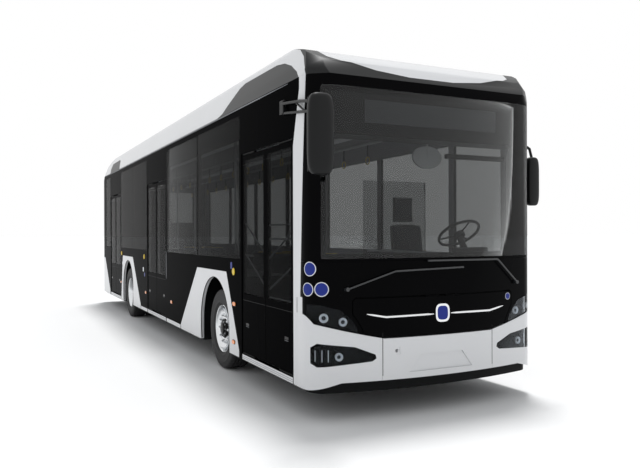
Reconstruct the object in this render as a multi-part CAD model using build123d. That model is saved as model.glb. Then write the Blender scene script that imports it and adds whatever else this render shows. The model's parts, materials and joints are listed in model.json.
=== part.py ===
from build123d import *
import os
from math import cos, radians, sin, sqrt

os.makedirs("parts", exist_ok=True)

# Frame: +X to the front, +Y to the left, +Z up, origin on the ground below the middle of the bounding box.
# Main sizes of the bus
LENGTH = 12000
WIDTH = 2550
MIRROR_REACH = 240
NOSE_X = (LENGTH - MIRROR_REACH) / 2
TAIL_X = NOSE_X - LENGTH
HALF_W = WIDTH / 2
HEIGHT = 3430
ROOF_BOX_TOP = HEIGHT + 60
FRONT_OVERHANG = 2880
REAR_OVERHANG = 3290
FRONT_AXLE_X = NOSE_X - FRONT_OVERHANG
REAR_AXLE_X = TAIL_X + REAR_OVERHANG
WHEELBASE = FRONT_AXLE_X - REAR_AXLE_X

# Skin of the body
SKIN = 45
SEAM = 3
SKIRT_Z = 281
WAIST_Z = 1375
CANT_Z = HEIGHT - 380
NOSE_RADIUS = 5000
FRONT_CORNER_R = 220
REAR_CORNER_R = 140
FRONT_SEAM_X = NOSE_X - 520
BUMPER_END_X = NOSE_X - 443
REAR_SEAM_X = TAIL_X + 165

# Rear wall: its lower edge, the lid in it, and how far the bumper below stands out
REAR_WALL_LOW = 780
BUMPER_PROUD = 14
LID_HALF = 900
LID_LOW = 800
LID_TOP = 1500

# Slanted planes that round the upper front corners: distance of the start below the top, tilt
BROW_CUTS = [(470, 14), (370, 32)]
BROW_DIR = (0.809, 0.588)
BROW_X = NOSE_X - 333
BROW_Y = HALF_W - FRONT_CORNER_R
BROW_REACH = 1200

# Floor
FLOOR_Z = 340
FLOOR_THICK = 90
CEILING_Z = CANT_Z - 90

# Doors: name, middle x, width of the opening
DOORS = [
    ("front", NOSE_X - 1220, 1400),
    ("middle", FRONT_AXLE_X - 0.561 * WHEELBASE, 1400),
    ("rear", REAR_AXLE_X - 1490, 1300),
]
DOOR_TOP = CANT_Z - 520
LEAF_THICK = 36
LEAF_INSET = 8
LEAF_TAIL = 20
LEAF_LEAD = 10
PIVOT_INSET = 32
MEETING_GAP = 10
ARM_THICK = 12
ARM_WIDTH = 36
ARM_LIFT = 6
LEAF_FRAME = 55
LEAF_SOLID_H = 640
PANE = 8
FIT = 0.3

# Wheels
TYRE_R = 487
TYRE_W = 275
RIM_R = 292
FRONT_OUT_Y = 1205
REAR_OUT_Y = 1240
TWIN_PITCH = 313
KINGPIN_Y = 920
FRONT_WHEEL_Y = FRONT_OUT_Y - TYRE_W / 2
REAR_WHEEL_Y = REAR_OUT_Y - TYRE_W / 2

# Wheel arches in the side: middle x, radius, height of the centre
ARCHES = [(FRONT_AXLE_X - 53, 588, 540), (REAR_AXLE_X, 545, 590)]
HOUSE_TOP = 1150
FRONT_HOUSE_HALF = 700
REAR_HOUSE_HALF = 560
HOUSE_IN_Y = 560
HOUSE_WALL = 12
RING_SIDES = 36
PIN_SIDES = 12
STUDS = 10
STUD_CIRCLE_R = 167.5
STUD_HOLE_R = 13


def box(x0, x1, y0, y1, z0, z1):
    return Pos((x0 + x1) / 2, (y0 + y1) / 2, (z0 + z1) / 2) * Box(abs(x1 - x0), abs(y1 - y0), abs(z1 - z0))


def sheet(points, grow=0):
    face = make_face(Polyline(*points, close=True).edges())
    return offset(face, grow, kind=Kind.INTERSECTION) if grow else face


def prism_y(points, y0, y1, grow=0):
    return Pos(0, y1, 0) * (Plane.XZ * extrude(sheet(points, grow), y1 - y0, dir=(0, 0, 1)))


def prism_x(points, x0, x1, grow=0):
    return Pos(x0, 0, 0) * (Plane.YZ * extrude(sheet(points, grow), x1 - x0, dir=(0, 0, 1)))


def prism_z(points, z0, z1, grow=0):
    return Pos(0, 0, z0) * extrude(sheet(points, grow), z1 - z0, dir=(0, 0, 1))


def disc_y(x, z, r, y0, y1):
    return Pos(x, (y0 + y1) / 2, z) * Rot(90, 0, 0) * Cylinder(r, abs(y1 - y0))


def drum_y(x, z, r, y0, y1, sides=RING_SIDES):
    face = Rot(0, 0, 180 / sides) * RegularPolygon(r, sides, major_radius=False)
    return Pos(x, (y0 + y1) / 2, z) * Rot(90, 0, 0) * extrude(face, abs(y1 - y0) / 2, both=True)


def disc_z(x, y, r, z0, z1):
    return Pos(x, y, (z0 + z1) / 2) * Cylinder(r, abs(z1 - z0))


def pin_z(x, y, r, z0, z1):
    return Pos(x, y, min(z0, z1)) * extrude(RegularPolygon(r, PIN_SIDES), abs(z1 - z0))


def mirrored(shape):
    return mirror(shape, about=Plane.XZ)


def tube(a, b, r):
    a, b = Vector(*a), Vector(*b)
    return Plane(a, z_dir=b - a) * Pos(0, 0, (b - a).length / 2) * Cylinder(r, (b - a).length)


def bound(solids):
    return Compound(children=[s for item in solids for s in item.solids()])


# Envelope of the body: plan, side and end outlines meet in one solid
def envelope(inset):
    half = HALF_W - inset
    arc_r = NOSE_RADIUS - inset
    corner_x = NOSE_X - NOSE_RADIUS + sqrt(arc_r ** 2 - half ** 2)
    outline = [
        ThreePointArc((corner_x, -half), (NOSE_X - inset, 0), (corner_x, half)),
        Line((corner_x, half), (TAIL_X + inset, half)),
        Line((TAIL_X + inset, half), (TAIL_X + inset, -half)),
        Line((TAIL_X + inset, -half), (corner_x, -half)),
    ]
    plan = make_face(outline)
    plan = fillet(plan.vertices().group_by(Axis.X)[-1], FRONT_CORNER_R - inset)
    plan = fillet(plan.vertices().group_by(Axis.X)[0], REAR_CORNER_R - inset)
    low = SKIRT_Z - 60
    solid = Pos(0, 0, low) * extrude(plan, HEIGHT - low)
    side = [
        (TAIL_X + inset, low), (NOSE_X - inset, low), (NOSE_X - inset, 900),
        (NOSE_X - 80 - inset, CANT_Z - 200), (NOSE_X - 120 - inset, CANT_Z),
        (NOSE_X - 210 - inset, HEIGHT - 240 - inset), (NOSE_X - 400 - inset, HEIGHT - 120 - inset),
        (NOSE_X - 700 - inset, HEIGHT - 40 - inset), (NOSE_X - 1100, HEIGHT - inset),
        (TAIL_X + 1300, HEIGHT - inset), (TAIL_X + 500, HEIGHT - 170 - inset),
        (TAIL_X + 70 + inset, HEIGHT - 530 - inset), (TAIL_X + BUMPER_PROUD + inset, LID_TOP),
        (TAIL_X + BUMPER_PROUD + inset, LID_LOW), (TAIL_X + inset, REAR_WALL_LOW),
    ]
    end = [
        (HALF_W - inset, low), (HALF_W - inset, CANT_Z), (HALF_W - 20 - inset, HEIGHT - 280),
        (HALF_W - 75 - inset, HEIGHT - 80 - inset * 0.3), (HALF_W - 110 - inset, HEIGHT - 30 - inset),
        (HALF_W - 200 - inset, HEIGHT - inset),
    ]
    end = end + [(-y, z) for y, z in reversed(end)]
    solid = solid & prism_y(side, -HALF_W - 1, HALF_W + 1)
    solid = solid & prism_x(end, TAIL_X - 1, NOSE_X + 1)
    for below_top, tilt in BROW_CUTS:
        flat, lean = cos(radians(tilt)), sin(radians(tilt))
        for s in (1, -1):
            away = Vector(BROW_DIR[0] * flat, s * BROW_DIR[1] * flat, lean)
            spot = Vector(BROW_X, s * BROW_Y, HEIGHT - below_top) + away * (FRONT_CORNER_R * flat - inset)
            outside = Pos(0, 0, BROW_REACH / 2) * Box(BROW_REACH, BROW_REACH, BROW_REACH)
            solid -= Plane(spot, z_dir=away) * outside
    return solid


OUTER = envelope(0)
INNER = envelope(SKIN)
GLASS_IN = envelope(PANE)
SHELL = OUTER - INNER - box(TAIL_X - 9, NOSE_X + 9, -HALF_W - 9, HALF_W + 9, 0, SKIRT_Z)

# Outline of the rear bumper corner on the side, where it wraps round behind the last door
TAIL_CORNER = [(TAIL_X - 9, 200), (TAIL_X + 1120, 200), (TAIL_X + 1030, 390), (TAIL_X + 320, 1100),
               (TAIL_X - 9, 1100)]
TAIL_CORNER_CUT = [(TAIL_X - 9, 190), (TAIL_X + 1129, 190), (TAIL_X + 1034, 392), (TAIL_X + 322, 1103),
                   (TAIL_X - 9, 1103)]


def arch(x, r, z):
    span = box(x - r, x + r, -HALF_W - 9, HALF_W + 9, 0, z)
    return span + disc_y(x, z, r, -HALF_W - 9, HALF_W + 9)


# Side windows: each bay between two doors is shared out in equal panes
PANE_LOW = WAIST_Z
PANE_TOP = CANT_Z - 95
PANE_LAP = 45
PANE_HEAD_LAP = 250
PANE_GAP = 15
BAY_MARGIN = 55
REAR_BAY_END = TAIL_X + 520
FRONT_DOOR_REAR, MIDDLE_DOOR_FRONT = DOORS[0][1] - DOORS[0][2] / 2, DOORS[1][1] + DOORS[1][2] / 2
MIDDLE_DOOR_REAR, REAR_DOOR_FRONT = DOORS[1][1] - DOORS[1][2] / 2, DOORS[2][1] + DOORS[2][2] / 2
REAR_DOOR_REAR = DOORS[2][1] - DOORS[2][2] / 2


def bay(front, rear, count):
    step = (front - rear) / count
    return [(front - (k + 1) * step + PANE_GAP, front - k * step) for k in range(count)]


RIGHT_PANES = bay(FRONT_DOOR_REAR - BAY_MARGIN, MIDDLE_DOOR_FRONT + BAY_MARGIN, 2)
RIGHT_PANES += bay(MIDDLE_DOOR_REAR - BAY_MARGIN, REAR_DOOR_FRONT + BAY_MARGIN, 2)
RIGHT_PANES += bay(REAR_DOOR_REAR - BAY_MARGIN, REAR_BAY_END, 1)
LEFT_PANES = bay(NOSE_X - 1480, REAR_BAY_END, 6)
DRIVER_PANE = (NOSE_X - 1465, NOSE_X - 560, 1300)


def pane_cut(x0, x1, side, low=PANE_LOW):
    rebate = box(x0, x1, side * (HALF_W - PANE - FIT), side * (HALF_W + 9), low, PANE_TOP)
    hole = box(x0 + PANE_LAP, x1 - PANE_LAP, side * (HALF_W - 99), side * (HALF_W + 9), low + PANE_LAP,
               PANE_TOP - PANE_HEAD_LAP)
    return rebate + hole


def pane(x0, x1, side, low=PANE_LOW):
    return box(x0 + FIT, x1 - FIT, side * (HALF_W - PANE), side * HALF_W, low + FIT, PANE_TOP - FIT)


# Wheel panels and skirt strips let into the side walls, as outlines in X and Z
STRIP_TOP = 338
PANEL_TOP = 1212
PANEL_KNEE = 358
WHEEL_PANELS = []
for axle_x, low_rear, top_rear, top_front, low_front in [
    (FRONT_AXLE_X, -1665, -802, 426, 870), (REAR_AXLE_X, -770, -590, 494, 1255),
]:
    WHEEL_PANELS.append([
        (axle_x + low_rear, SKIRT_Z - 9), (axle_x + low_rear, PANEL_KNEE), (axle_x + top_rear, PANEL_TOP),
        (axle_x + top_front, PANEL_TOP), (axle_x + low_front, PANEL_KNEE),
        (axle_x + low_front, SKIRT_Z - 9),
    ])
PANEL_ENDS = [(panel[0][0], panel[-1][0]) for panel in WHEEL_PANELS]
STRIP_GAP = 20
STRIP_FRONT_END = NOSE_X - 535
STRIPS_RIGHT = [
    (FRONT_DOOR_REAR + STRIP_GAP, STRIP_FRONT_END),
    (MIDDLE_DOOR_FRONT + STRIP_GAP, PANEL_ENDS[0][0] - STRIP_GAP),
    (MIDDLE_DOOR_REAR + STRIP_GAP, MIDDLE_DOOR_FRONT - STRIP_GAP),
    (PANEL_ENDS[1][1] + STRIP_GAP, MIDDLE_DOOR_REAR - STRIP_GAP),
    (REAR_DOOR_REAR + STRIP_GAP, PANEL_ENDS[1][0] - STRIP_GAP),
]
STRIPS_LEFT = [
    (PANEL_ENDS[0][1] + STRIP_GAP, STRIP_FRONT_END),
    (PANEL_ENDS[1][1] + STRIP_GAP, PANEL_ENDS[0][0] - STRIP_GAP),
    (REAR_DOOR_REAR + STRIP_GAP, PANEL_ENDS[1][0] - STRIP_GAP),
]
# White corner panel between the front door and the windscreen, as an outline in X and Z
PILLAR = [
    (NOSE_X - 520, SKIRT_Z), (NOSE_X - 520, CANT_Z - 600), (NOSE_X - 380, CANT_Z - 100),
    (NOSE_X - 380, CANT_Z), (NOSE_X - 268, CANT_Z), (NOSE_X - 327, 1950), (NOSE_X - 370, 1080),
    (NOSE_X - 446, 1080),
    (NOSE_X - 446, SKIRT_Z),
]
PILLAR_REST = [
    (NOSE_X + 99, SKIRT_Z), (NOSE_X + 99, CANT_Z + 9), (NOSE_X - 268 + SEAM, CANT_Z + 9),
    (NOSE_X - 327 + SEAM, 1950), (NOSE_X - 370 + SEAM, 1080), (NOSE_X - 446 + SEAM, 1080),
    (NOSE_X - 446 + SEAM, SKIRT_Z),
]
PILLAR_CUT = [
    (NOSE_X - 520 - SEAM, SKIRT_Z - 9), (NOSE_X - 520 - SEAM, CANT_Z - 600),
    (NOSE_X - 380 - SEAM, CANT_Z - 100),
    (NOSE_X - 380 - SEAM, CANT_Z + 9), (NOSE_X + 99, CANT_Z + 9), (NOSE_X + 99, SKIRT_Z - 9),
]


# Side walls
def side_skin(side):
    reach = box(REAR_SEAM_X, NOSE_X - 300, side * (HALF_W - SKIN - 1), side * (HALF_W + 9), SKIRT_Z, CANT_Z)
    wall = SHELL & reach
    wall -= prism_y(TAIL_CORNER_CUT, -HALF_W - 9, HALF_W + 9)
    for x, r, z in ARCHES:
        wall -= arch(x, r, z)
    return wall


def strip_box(x0, x1, side, grow):
    inner = side * (HALF_W - STRIP_DEEP - grow)
    return box(x0 - grow, x1 + grow, inner, side * (HALF_W + 9), SKIRT_Z - 9, STRIP_TOP + grow)


STRIP_DEEP = 20
walls = {}
wheel_panels = []
strips = []
for side, runs in ((-1, STRIPS_RIGHT), (1, STRIPS_LEFT)):
    skin = side_skin(side)
    wall = skin - prism_y(PILLAR_CUT, -HALF_W - 9, HALF_W + 9)
    for panel in WHEEL_PANELS:
        wheel_panels.append(skin & prism_y(panel, -HALF_W - 9, HALF_W + 9))
        wall -= prism_y(panel, -HALF_W - 9, HALF_W + 9, FIT)
    for x0, x1 in runs:
        strips.append(wall & strip_box(x0, x1, side, 0))
        wall -= strip_box(x0, x1, side, FIT)
    walls[side] = wall
for x0, x1 in RIGHT_PANES:
    walls[-1] -= pane_cut(x0, x1, -1)
for name, x, width in DOORS:
    walls[-1] -= box(x - width / 2, x + width / 2, -HALF_W - 9, -HALF_W + 99, FLOOR_Z, DOOR_TOP)
for x0, x1 in LEFT_PANES:
    walls[1] -= pane_cut(x0, x1, 1)
walls[1] -= pane_cut(DRIVER_PANE[0], DRIVER_PANE[1], 1, DRIVER_PANE[2])
glass = [pane(x0, x1, -1) for x0, x1 in RIGHT_PANES]
glass += [pane(x0, x1, 1) for x0, x1 in LEFT_PANES]
glass.append(pane(DRIVER_PANE[0], DRIVER_PANE[1], 1, DRIVER_PANE[2]))

# Front end: pillars with header, black mask, service flap, bumper
SCREEN_LOW = 1430
SCREEN_TOP = CANT_Z - 100
SCREEN_HALF = 1175
MASK_LOW = 715
BUMPER_LOW = 345
FLAP_TOP = 1090
FLAP_THICK = 10
corner_skin = SHELL & box(FRONT_SEAM_X - 200, NOSE_X + 9, 800, HALF_W + 9, SKIRT_Z, CANT_Z)
corner_left = corner_skin & prism_y(PILLAR, -HALF_W - 9, HALF_W + 9)
corner_panels = [corner_left, mirrored(corner_left)]
front_part = SHELL & prism_y(PILLAR_REST, -HALF_W - 9, HALF_W + 9)
BUMPER_TOP = [(HALF_W + 20, 1060), (HALF_W + 10, 960), (1225, 862), (985, 800), (766, 749),
              (600, MASK_LOW)]
BUMPER_SIDE = [(1000, BUMPER_LOW), (HALF_W + 20, SKIRT_Z - 9)] + BUMPER_TOP
bumper_outline = BUMPER_SIDE + [(-y, z) for y, z in reversed(BUMPER_SIDE)]
mask_outline = [(y, z + SEAM) for y, z in BUMPER_TOP] + [(-y, z + SEAM) for y, z in reversed(BUMPER_TOP)]
mask_outline += [(-HALF_W - 20, CANT_Z + 9), (HALF_W + 20, CANT_Z + 9)]
bumper = front_part & prism_x(bumper_outline, FRONT_SEAM_X, NOSE_X + 9)
upper_front = front_part & prism_x(mask_outline, FRONT_SEAM_X, NOSE_X + 9)
BUMPER_SEAM_Y = 620
bumper_mid = bumper & box(FRONT_SEAM_X, NOSE_X + 9, -BUMPER_SEAM_Y, BUMPER_SEAM_Y, 0, 2000)
bumper_left = bumper & box(FRONT_SEAM_X, NOSE_X + 9, BUMPER_SEAM_Y + SEAM, HALF_W + 9, 0, 2000)
RECESS = [(-355, 400), (355, 400), (235, 555), (-235, 555)]
recess_body = prism_x(RECESS, NOSE_X - 22, NOSE_X + 9)
bumper_mid -= recess_body
TOW_Y = -480
TOW_Z = 600
TOW_R = 16
tow_seat = Pos(NOSE_X, TOW_Y, TOW_Z) * Rot(0, 90, 0) * Box(64, 64, 52)
tow_bore = Pos(NOSE_X, TOW_Y, TOW_Z) * Rot(0, 90, 0) * Cylinder(TOW_R, 260)
bumper_mid = bumper_mid - tow_seat - tow_bore
LAMP_BLOCK = box(BUMPER_END_X + SEAM, NOSE_X + 9, -HALF_W, HALF_W, 400, 1100)
LENS = 4
BOWL_DEPTH = 30
POD_R = 44
POD_LENGTH = 26
FOG_OUTLINE = [(1205, 695), (1245, 660), (1245, 520), (1205, 488), (720, 520), (680, 545),
               (690, 580), (880, 655)]
HEAD_OUTLINE = [(1262, 1035), (1180, 1028), (1012, 983), (915, 903), (862, 823), (848, 778),
                (985, 812), (1218, 873), (1262, 925)]
HEAD_PODS = [(1155, 915), (985, 877)]
FOG_PODS = [(1021, 572)]


def lamp(outline, pods):
    body = (OUTER - INNER) & prism_x(outline, NOSE_X - 420, NOSE_X + 9, -FIT) & LAMP_BLOCK
    room = envelope(LENS) - envelope(BOWL_DEPTH)
    bowl = body - (room & prism_x(outline, NOSE_X - 420, NOSE_X + 9, -12)) - (OUTER - envelope(LENS + FIT))
    lens = body & (OUTER - envelope(LENS))
    for y, z in pods:
        front_x = NOSE_X - NOSE_RADIUS + sqrt(NOSE_RADIUS ** 2 - y ** 2) - 30
        pod = Pos(front_x - POD_LENGTH, y, z) * Rot(0, 90, 0) * Cylinder(POD_R, POD_LENGTH * 2)
        bowl += pod & (envelope(LENS + 6) - INNER)
    return bowl, lens


fog_bowl, fog_lens = lamp(FOG_OUTLINE, FOG_PODS)
head_bowl, head_lens = lamp(HEAD_OUTLINE, HEAD_PODS)
lamp_parts = [fog_bowl, fog_lens, head_bowl, head_lens]
fog_cut = prism_x(FOG_OUTLINE, NOSE_X - 420, NOSE_X + 9)
head_cut = prism_x(HEAD_OUTLINE, NOSE_X - 420, NOSE_X + 9)
bumper_left -= fog_cut
bumper_right = mirrored(bumper_left)

screen_hole = box(FRONT_SEAM_X - 99, NOSE_X + 9, -SCREEN_HALF + PANE_LAP, SCREEN_HALF - PANE_LAP,
                  SCREEN_LOW + PANE_LAP, SCREEN_TOP - PANE_LAP)
screen_rebate = OUTER - envelope(PANE + FIT)
screen_rebate &= box(FRONT_SEAM_X - 99, NOSE_X + 9, -SCREEN_HALF, SCREEN_HALF, SCREEN_LOW, SCREEN_TOP)
FLAP_SIDE = [(826, 823), (880, 909), (905, 940), (905, 1060), (875, FLAP_TOP)]
FLAP_FOOT = [(600, MASK_LOW + 4), (766, 753), (800, 763)]
FLAP_HALF_OUTLINE = FLAP_FOOT + FLAP_SIDE
FLAP_OUTLINE = FLAP_HALF_OUTLINE + [(-y, z) for y, z in reversed(FLAP_HALF_OUTLINE)]
FLAP_ROOM = [(800, MASK_LOW - 9), (800, 763)] + FLAP_SIDE
flap_cut = prism_x(FLAP_ROOM + [(-y, z) for y, z in reversed(FLAP_ROOM)], NOSE_X - 400, NOSE_X + 9)
upper_front = upper_front - screen_hole - screen_rebate - flap_cut
upper_front = upper_front - head_cut - mirrored(head_cut)
front_frame = upper_front & box(FRONT_SEAM_X, NOSE_X + 9, -HALF_W, HALF_W, SCREEN_LOW - 20, CANT_Z)
front_mask = upper_front & box(FRONT_SEAM_X, NOSE_X + 9, -HALF_W, HALF_W, MASK_LOW, SCREEN_LOW - 20 - SEAM)
windscreen = (OUTER - GLASS_IN) & box(FRONT_SEAM_X - 99, NOSE_X + 9, -SCREEN_HALF + FIT, SCREEN_HALF - FIT,
                                      SCREEN_LOW + FIT, SCREEN_TOP - FIT)
FLAP_GAP = 8
FLAP_HEAD_GAP = 14
FLAP_AXIS_DROP = 12
FLAP_AXIS_INSET = 6
flap = (OUTER - envelope(FLAP_THICK)) & prism_x(FLAP_OUTLINE, NOSE_X - 400, NOSE_X + 9, -FLAP_GAP)
flap &= box(NOSE_X - 400, NOSE_X + 9, -HALF_W, HALF_W, 0, FLAP_TOP - FLAP_HEAD_GAP)

# Rear end
REAR_PANE = (980, 1900, 2750)
rear_part = SHELL & box(TAIL_X - 9, REAR_SEAM_X - SEAM, -HALF_W, HALF_W, SKIRT_Z, CANT_Z)
rear_corner = prism_y(TAIL_CORNER, -HALF_W - 9, HALF_W + 9)
CORNER_WIDTH = 170
rear_bumper = SHELL & rear_corner
CORNER_Y = HALF_W - CORNER_WIDTH
rear_bumper -= box(TAIL_X - 9, TAIL_X + 99, -CORNER_Y, CORNER_Y, REAR_WALL_LOW, 1200)
rear_bumper -= box(TAIL_X + 100, TAIL_X + 3000, -HALF_W + SKIN + 20, HALF_W - SKIN - 20, 0, 1200)
CORNER_ROOM = [(TAIL_X - 9, 200), (TAIL_X + 900, 200), (TAIL_X + 900, 1103), (TAIL_X - 9, 1103)]
corner_room = prism_y(CORNER_ROOM, CORNER_Y - SEAM, HALF_W + 9)
rear_wall = rear_part - corner_room - mirrored(corner_room)
rear_wall -= box(TAIL_X - 9, TAIL_X + 400, -HALF_W, HALF_W, 0, REAR_WALL_LOW + SEAM)
rear_wall -= box(TAIL_X - 9, TAIL_X + 400, -LID_HALF, LID_HALF, LID_LOW, LID_TOP)
rear_wall -= box(TAIL_X - 9, TAIL_X + 400, -REAR_PANE[0] + PANE_LAP, REAR_PANE[0] - PANE_LAP,
                 REAR_PANE[1] + PANE_LAP, REAR_PANE[2] - PANE_LAP)
rear_wall -= (OUTER - envelope(PANE + FIT)) & box(TAIL_X - 9, TAIL_X + 200, -REAR_PANE[0], REAR_PANE[0],
                                                  REAR_PANE[1], REAR_PANE[2])
rear_glass = (OUTER - GLASS_IN) & box(TAIL_X - 9, TAIL_X + 200, -REAR_PANE[0] + FIT, REAR_PANE[0] - FIT,
                                      REAR_PANE[1] + FIT, REAR_PANE[2] - FIT)
glass.append(rear_glass)
LID_GAP = 4
LID_THICK = 25
lid = (OUTER - envelope(LID_THICK)) & box(TAIL_X - 9, TAIL_X + 99, -LID_HALF + LID_GAP, LID_HALF - LID_GAP,
                                          LID_LOW + LID_GAP, LID_TOP - LID_GAP)

# Hinges of flap and lid: two fixed barrels with a pin, the moving barrel between them
BARREL_R = 6
PIN_R = 3
PIN_PLAY = 0.05
BARREL_HALF = 40
BARREL_END = 30


def hinge(x, z, y, out):
    moving = disc_y(x, z, BARREL_R, y - BARREL_HALF, y + BARREL_HALF)
    moving += box(x, x - out * 12, y - BARREL_HALF, y + BARREL_HALF, z - 24, z)
    moving -= disc_y(x, z, PIN_R + PIN_PLAY, y - BARREL_HALF, y + BARREL_HALF)
    ends = [y - BARREL_HALF - BARREL_END - FIT, y + BARREL_HALF + FIT]
    fixed = disc_y(x, z, PIN_R, ends[0], ends[1] + BARREL_END)
    room = disc_y(x, z, BARREL_R + 3, y - BARREL_HALF - FIT, y + BARREL_HALF + FIT)
    for y0 in ends:
        fixed += disc_y(x, z, BARREL_R, y0, y0 + BARREL_END)
        fixed += box(x, x - out * 12, y0, y0 + BARREL_END, z, z + 24)
    return moving, fixed, room


FLAP_AXIS = (NOSE_X - FLAP_AXIS_INSET, FLAP_TOP - FLAP_AXIS_DROP)
LID_AXIS = (TAIL_X + BUMPER_PROUD - 2, LID_TOP - 2)
FLAP_HINGES = [-110, 110]
LID_HINGES = [-600, 600]
for y in FLAP_HINGES:
    moving, fixed, room = hinge(FLAP_AXIS[0], FLAP_AXIS[1], y, 1)
    front_mask = front_mask - room + fixed
    keep = disc_y(FLAP_AXIS[0], FLAP_AXIS[1], BARREL_R + 3, y - BARREL_HALF - 35, y + BARREL_HALF + 35)
    flap = flap - keep + moving
for y in LID_HINGES:
    moving, fixed, room = hinge(LID_AXIS[0], LID_AXIS[1], y, -1)
    rear_wall = rear_wall - room + fixed
    keep = disc_y(LID_AXIS[0], LID_AXIS[1], BARREL_R + 3, y - BARREL_HALF - 35, y + BARREL_HALF + 35)
    lid = lid - keep + moving

# Roof: ceiling panel, fairing round the edge, housings between
LINING = envelope(SKIN + FIT)
roof_shell = LINING & box(TAIL_X, NOSE_X, -HALF_W, HALF_W, CEILING_Z, CANT_Z - FIT)
fairing = SHELL & box(TAIL_X - 9, NOSE_X + 9, -HALF_W - 9, HALF_W + 9, CANT_Z + FIT, HEIGHT + 9)
WELL_HALF = 930
WELL_FRONT = NOSE_X - 1500
WELL_REAR = TAIL_X + 1500
fairing -= box(WELL_REAR, WELL_FRONT, -WELL_HALF, WELL_HALF, CANT_Z, HEIGHT + 9)

# Black brow over the windscreen, with the white roof cap let into it
BROW = [(NOSE_X - 262, CANT_Z - 9), (NOSE_X - 286, CANT_Z + 69), (NOSE_X - 371, CANT_Z + 186),
        (NOSE_X - 502, CANT_Z + 281), (NOSE_X - 900, HEIGHT + 20), (NOSE_X + 20, HEIGHT + 20),
        (NOSE_X + 20, CANT_Z - 9)]
CAP_REAR = NOSE_X - 1000
CAP_SIDE = [(CAP_REAR, 1120), (NOSE_X - 420, 1090), (NOSE_X - 290, 1040), (NOSE_X - 225, 930),
            (NOSE_X - 175, 600), (NOSE_X - 152, 250)]
CAP = CAP_SIDE + [(x, -y) for x, y in reversed(CAP_SIDE)]
brow_zone = fairing & prism_y(BROW, -HALF_W - 9, HALF_W + 9)
brow = brow_zone - prism_z(CAP, CANT_Z, HEIGHT + 20, FIT)
cap = (fairing & prism_y(BROW, -HALF_W - 9, HALF_W + 9, FIT)) & prism_z(CAP, CANT_Z, HEIGHT + 20)
fairing = (fairing - prism_y(BROW, -HALF_W - 9, HALF_W + 9, FIT)) + cap

# Black inlays in the sides of the fairing
INLAY_DEEP = 130
INLAYS = [
    [(NOSE_X - 2844, CANT_Z - 9), (NOSE_X - 2608, CANT_Z + 29), (NOSE_X - 2124, CANT_Z + 240),
     (NOSE_X - 1963, CANT_Z + 270), (NOSE_X - 1041, CANT_Z + 260), (NOSE_X - 826, CANT_Z + 228),
     (NOSE_X - 623, CANT_Z + 158), (NOSE_X - 458, CANT_Z + 67), (NOSE_X - 380, CANT_Z - 9)],
    [(TAIL_X + 1100, CANT_Z - 9), (TAIL_X + 1100, CANT_Z + 100), (TAIL_X + 1200, CANT_Z + 210),
     (TAIL_X + 2100, CANT_Z + 220), (TAIL_X + 2210, CANT_Z + 180), (TAIL_X + 2320, CANT_Z - 9)],
]
inlays = []
for points in INLAYS:
    for side in (-1, 1):
        y0, y1 = sorted((side * (HALF_W - INLAY_DEEP), side * (HALF_W + 9)))
        inlays += (fairing & prism_y(points, y0, y1)).solids()
        fairing -= prism_y(points, y0 - FIT, y1 + FIT, FIT)

# Housings in the roof well: share of the free length, height above the cantrail
HOUSING_GAP = 40
HOUSING_HALF = 880
HOUSING_TABLE = [(0.098, 350), (0.219, ROOF_BOX_TOP - CANT_Z), (0.293, 350), (0.192, 390), (0.198, 350)]
HOUSING_ROOM = WELL_FRONT - WELL_REAR - HOUSING_GAP * (len(HOUSING_TABLE) + 1)
housings = []
front = WELL_FRONT - HOUSING_GAP
for share, rise in HOUSING_TABLE:
    rear = front - share * HOUSING_ROOM
    housings.append(box(rear, front, -HOUSING_HALF, HOUSING_HALF, CANT_Z, CANT_Z + rise))
    front = rear - HOUSING_GAP

# Underframe: floor with ramp, wheel houses
def wheel_house(x, half, grow):
    return box(x - half - grow, x + half + grow, HOUSE_IN_Y - grow, HALF_W + 9, 100, HOUSE_TOP + grow)


underframe = box(TAIL_X, NOSE_X, -HALF_W, HALF_W, FLOOR_Z - FLOOR_THICK, FLOOR_Z)
HOUSES = [(FRONT_AXLE_X, FRONT_HOUSE_HALF), (REAR_AXLE_X, REAR_HOUSE_HALF)]
wheel_houses = []
for x, half in HOUSES:
    room = wheel_house(x, half, HOUSE_WALL + FIT)
    shell = wheel_house(x, half, HOUSE_WALL) - wheel_house(x, half, 0)
    shell &= box(TAIL_X, NOSE_X, 0, HALF_W - SKIN - FIT, FLOOR_Z - FLOOR_THICK, 2000)
    underframe = underframe - room - mirrored(room)
    wheel_houses += [shell, mirrored(shell)]
underframe &= LINING
BULKHEAD = 22
bulkhead = LINING - envelope(SKIN + FIT + BULKHEAD)
BULKHEAD_LOW, BULKHEAD_TOP = FLOOR_Z - FLOOR_THICK, SCREEN_LOW - 10
underframe += bulkhead & box(FRONT_SEAM_X + 60, NOSE_X, -HALF_W, HALF_W, BULKHEAD_LOW, BULKHEAD_TOP)
underframe -= Pos(NOSE_X, TOW_Y, TOW_Z) * Rot(0, 90, 0) * Cylinder(TOW_R + 4, 260)

# Wheels: rings of flat facets, so that every facet of rim and tyre lies against its neighbour


def ring(outline, sides=RING_SIDES):
    grow = 1 / cos(radians(180 / sides))
    spots = []
    for k in range(sides):
        a = radians((k + 0.5) * 360 / sides - 90)
        spots.append([Vector(r * grow * cos(a), y, r * grow * sin(a)) for r, y in outline])
    faces = []
    count = len(outline)
    for k in range(sides):
        here, after = spots[k], spots[(k + 1) % sides]
        for i in range(count):
            j = (i + 1) % count
            corners = [here[i], here[j], after[j], after[i]]
            faces.append(Face(Wire.make_polygon(corners, close=True)))
    return Solid(Shell(faces))


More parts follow.
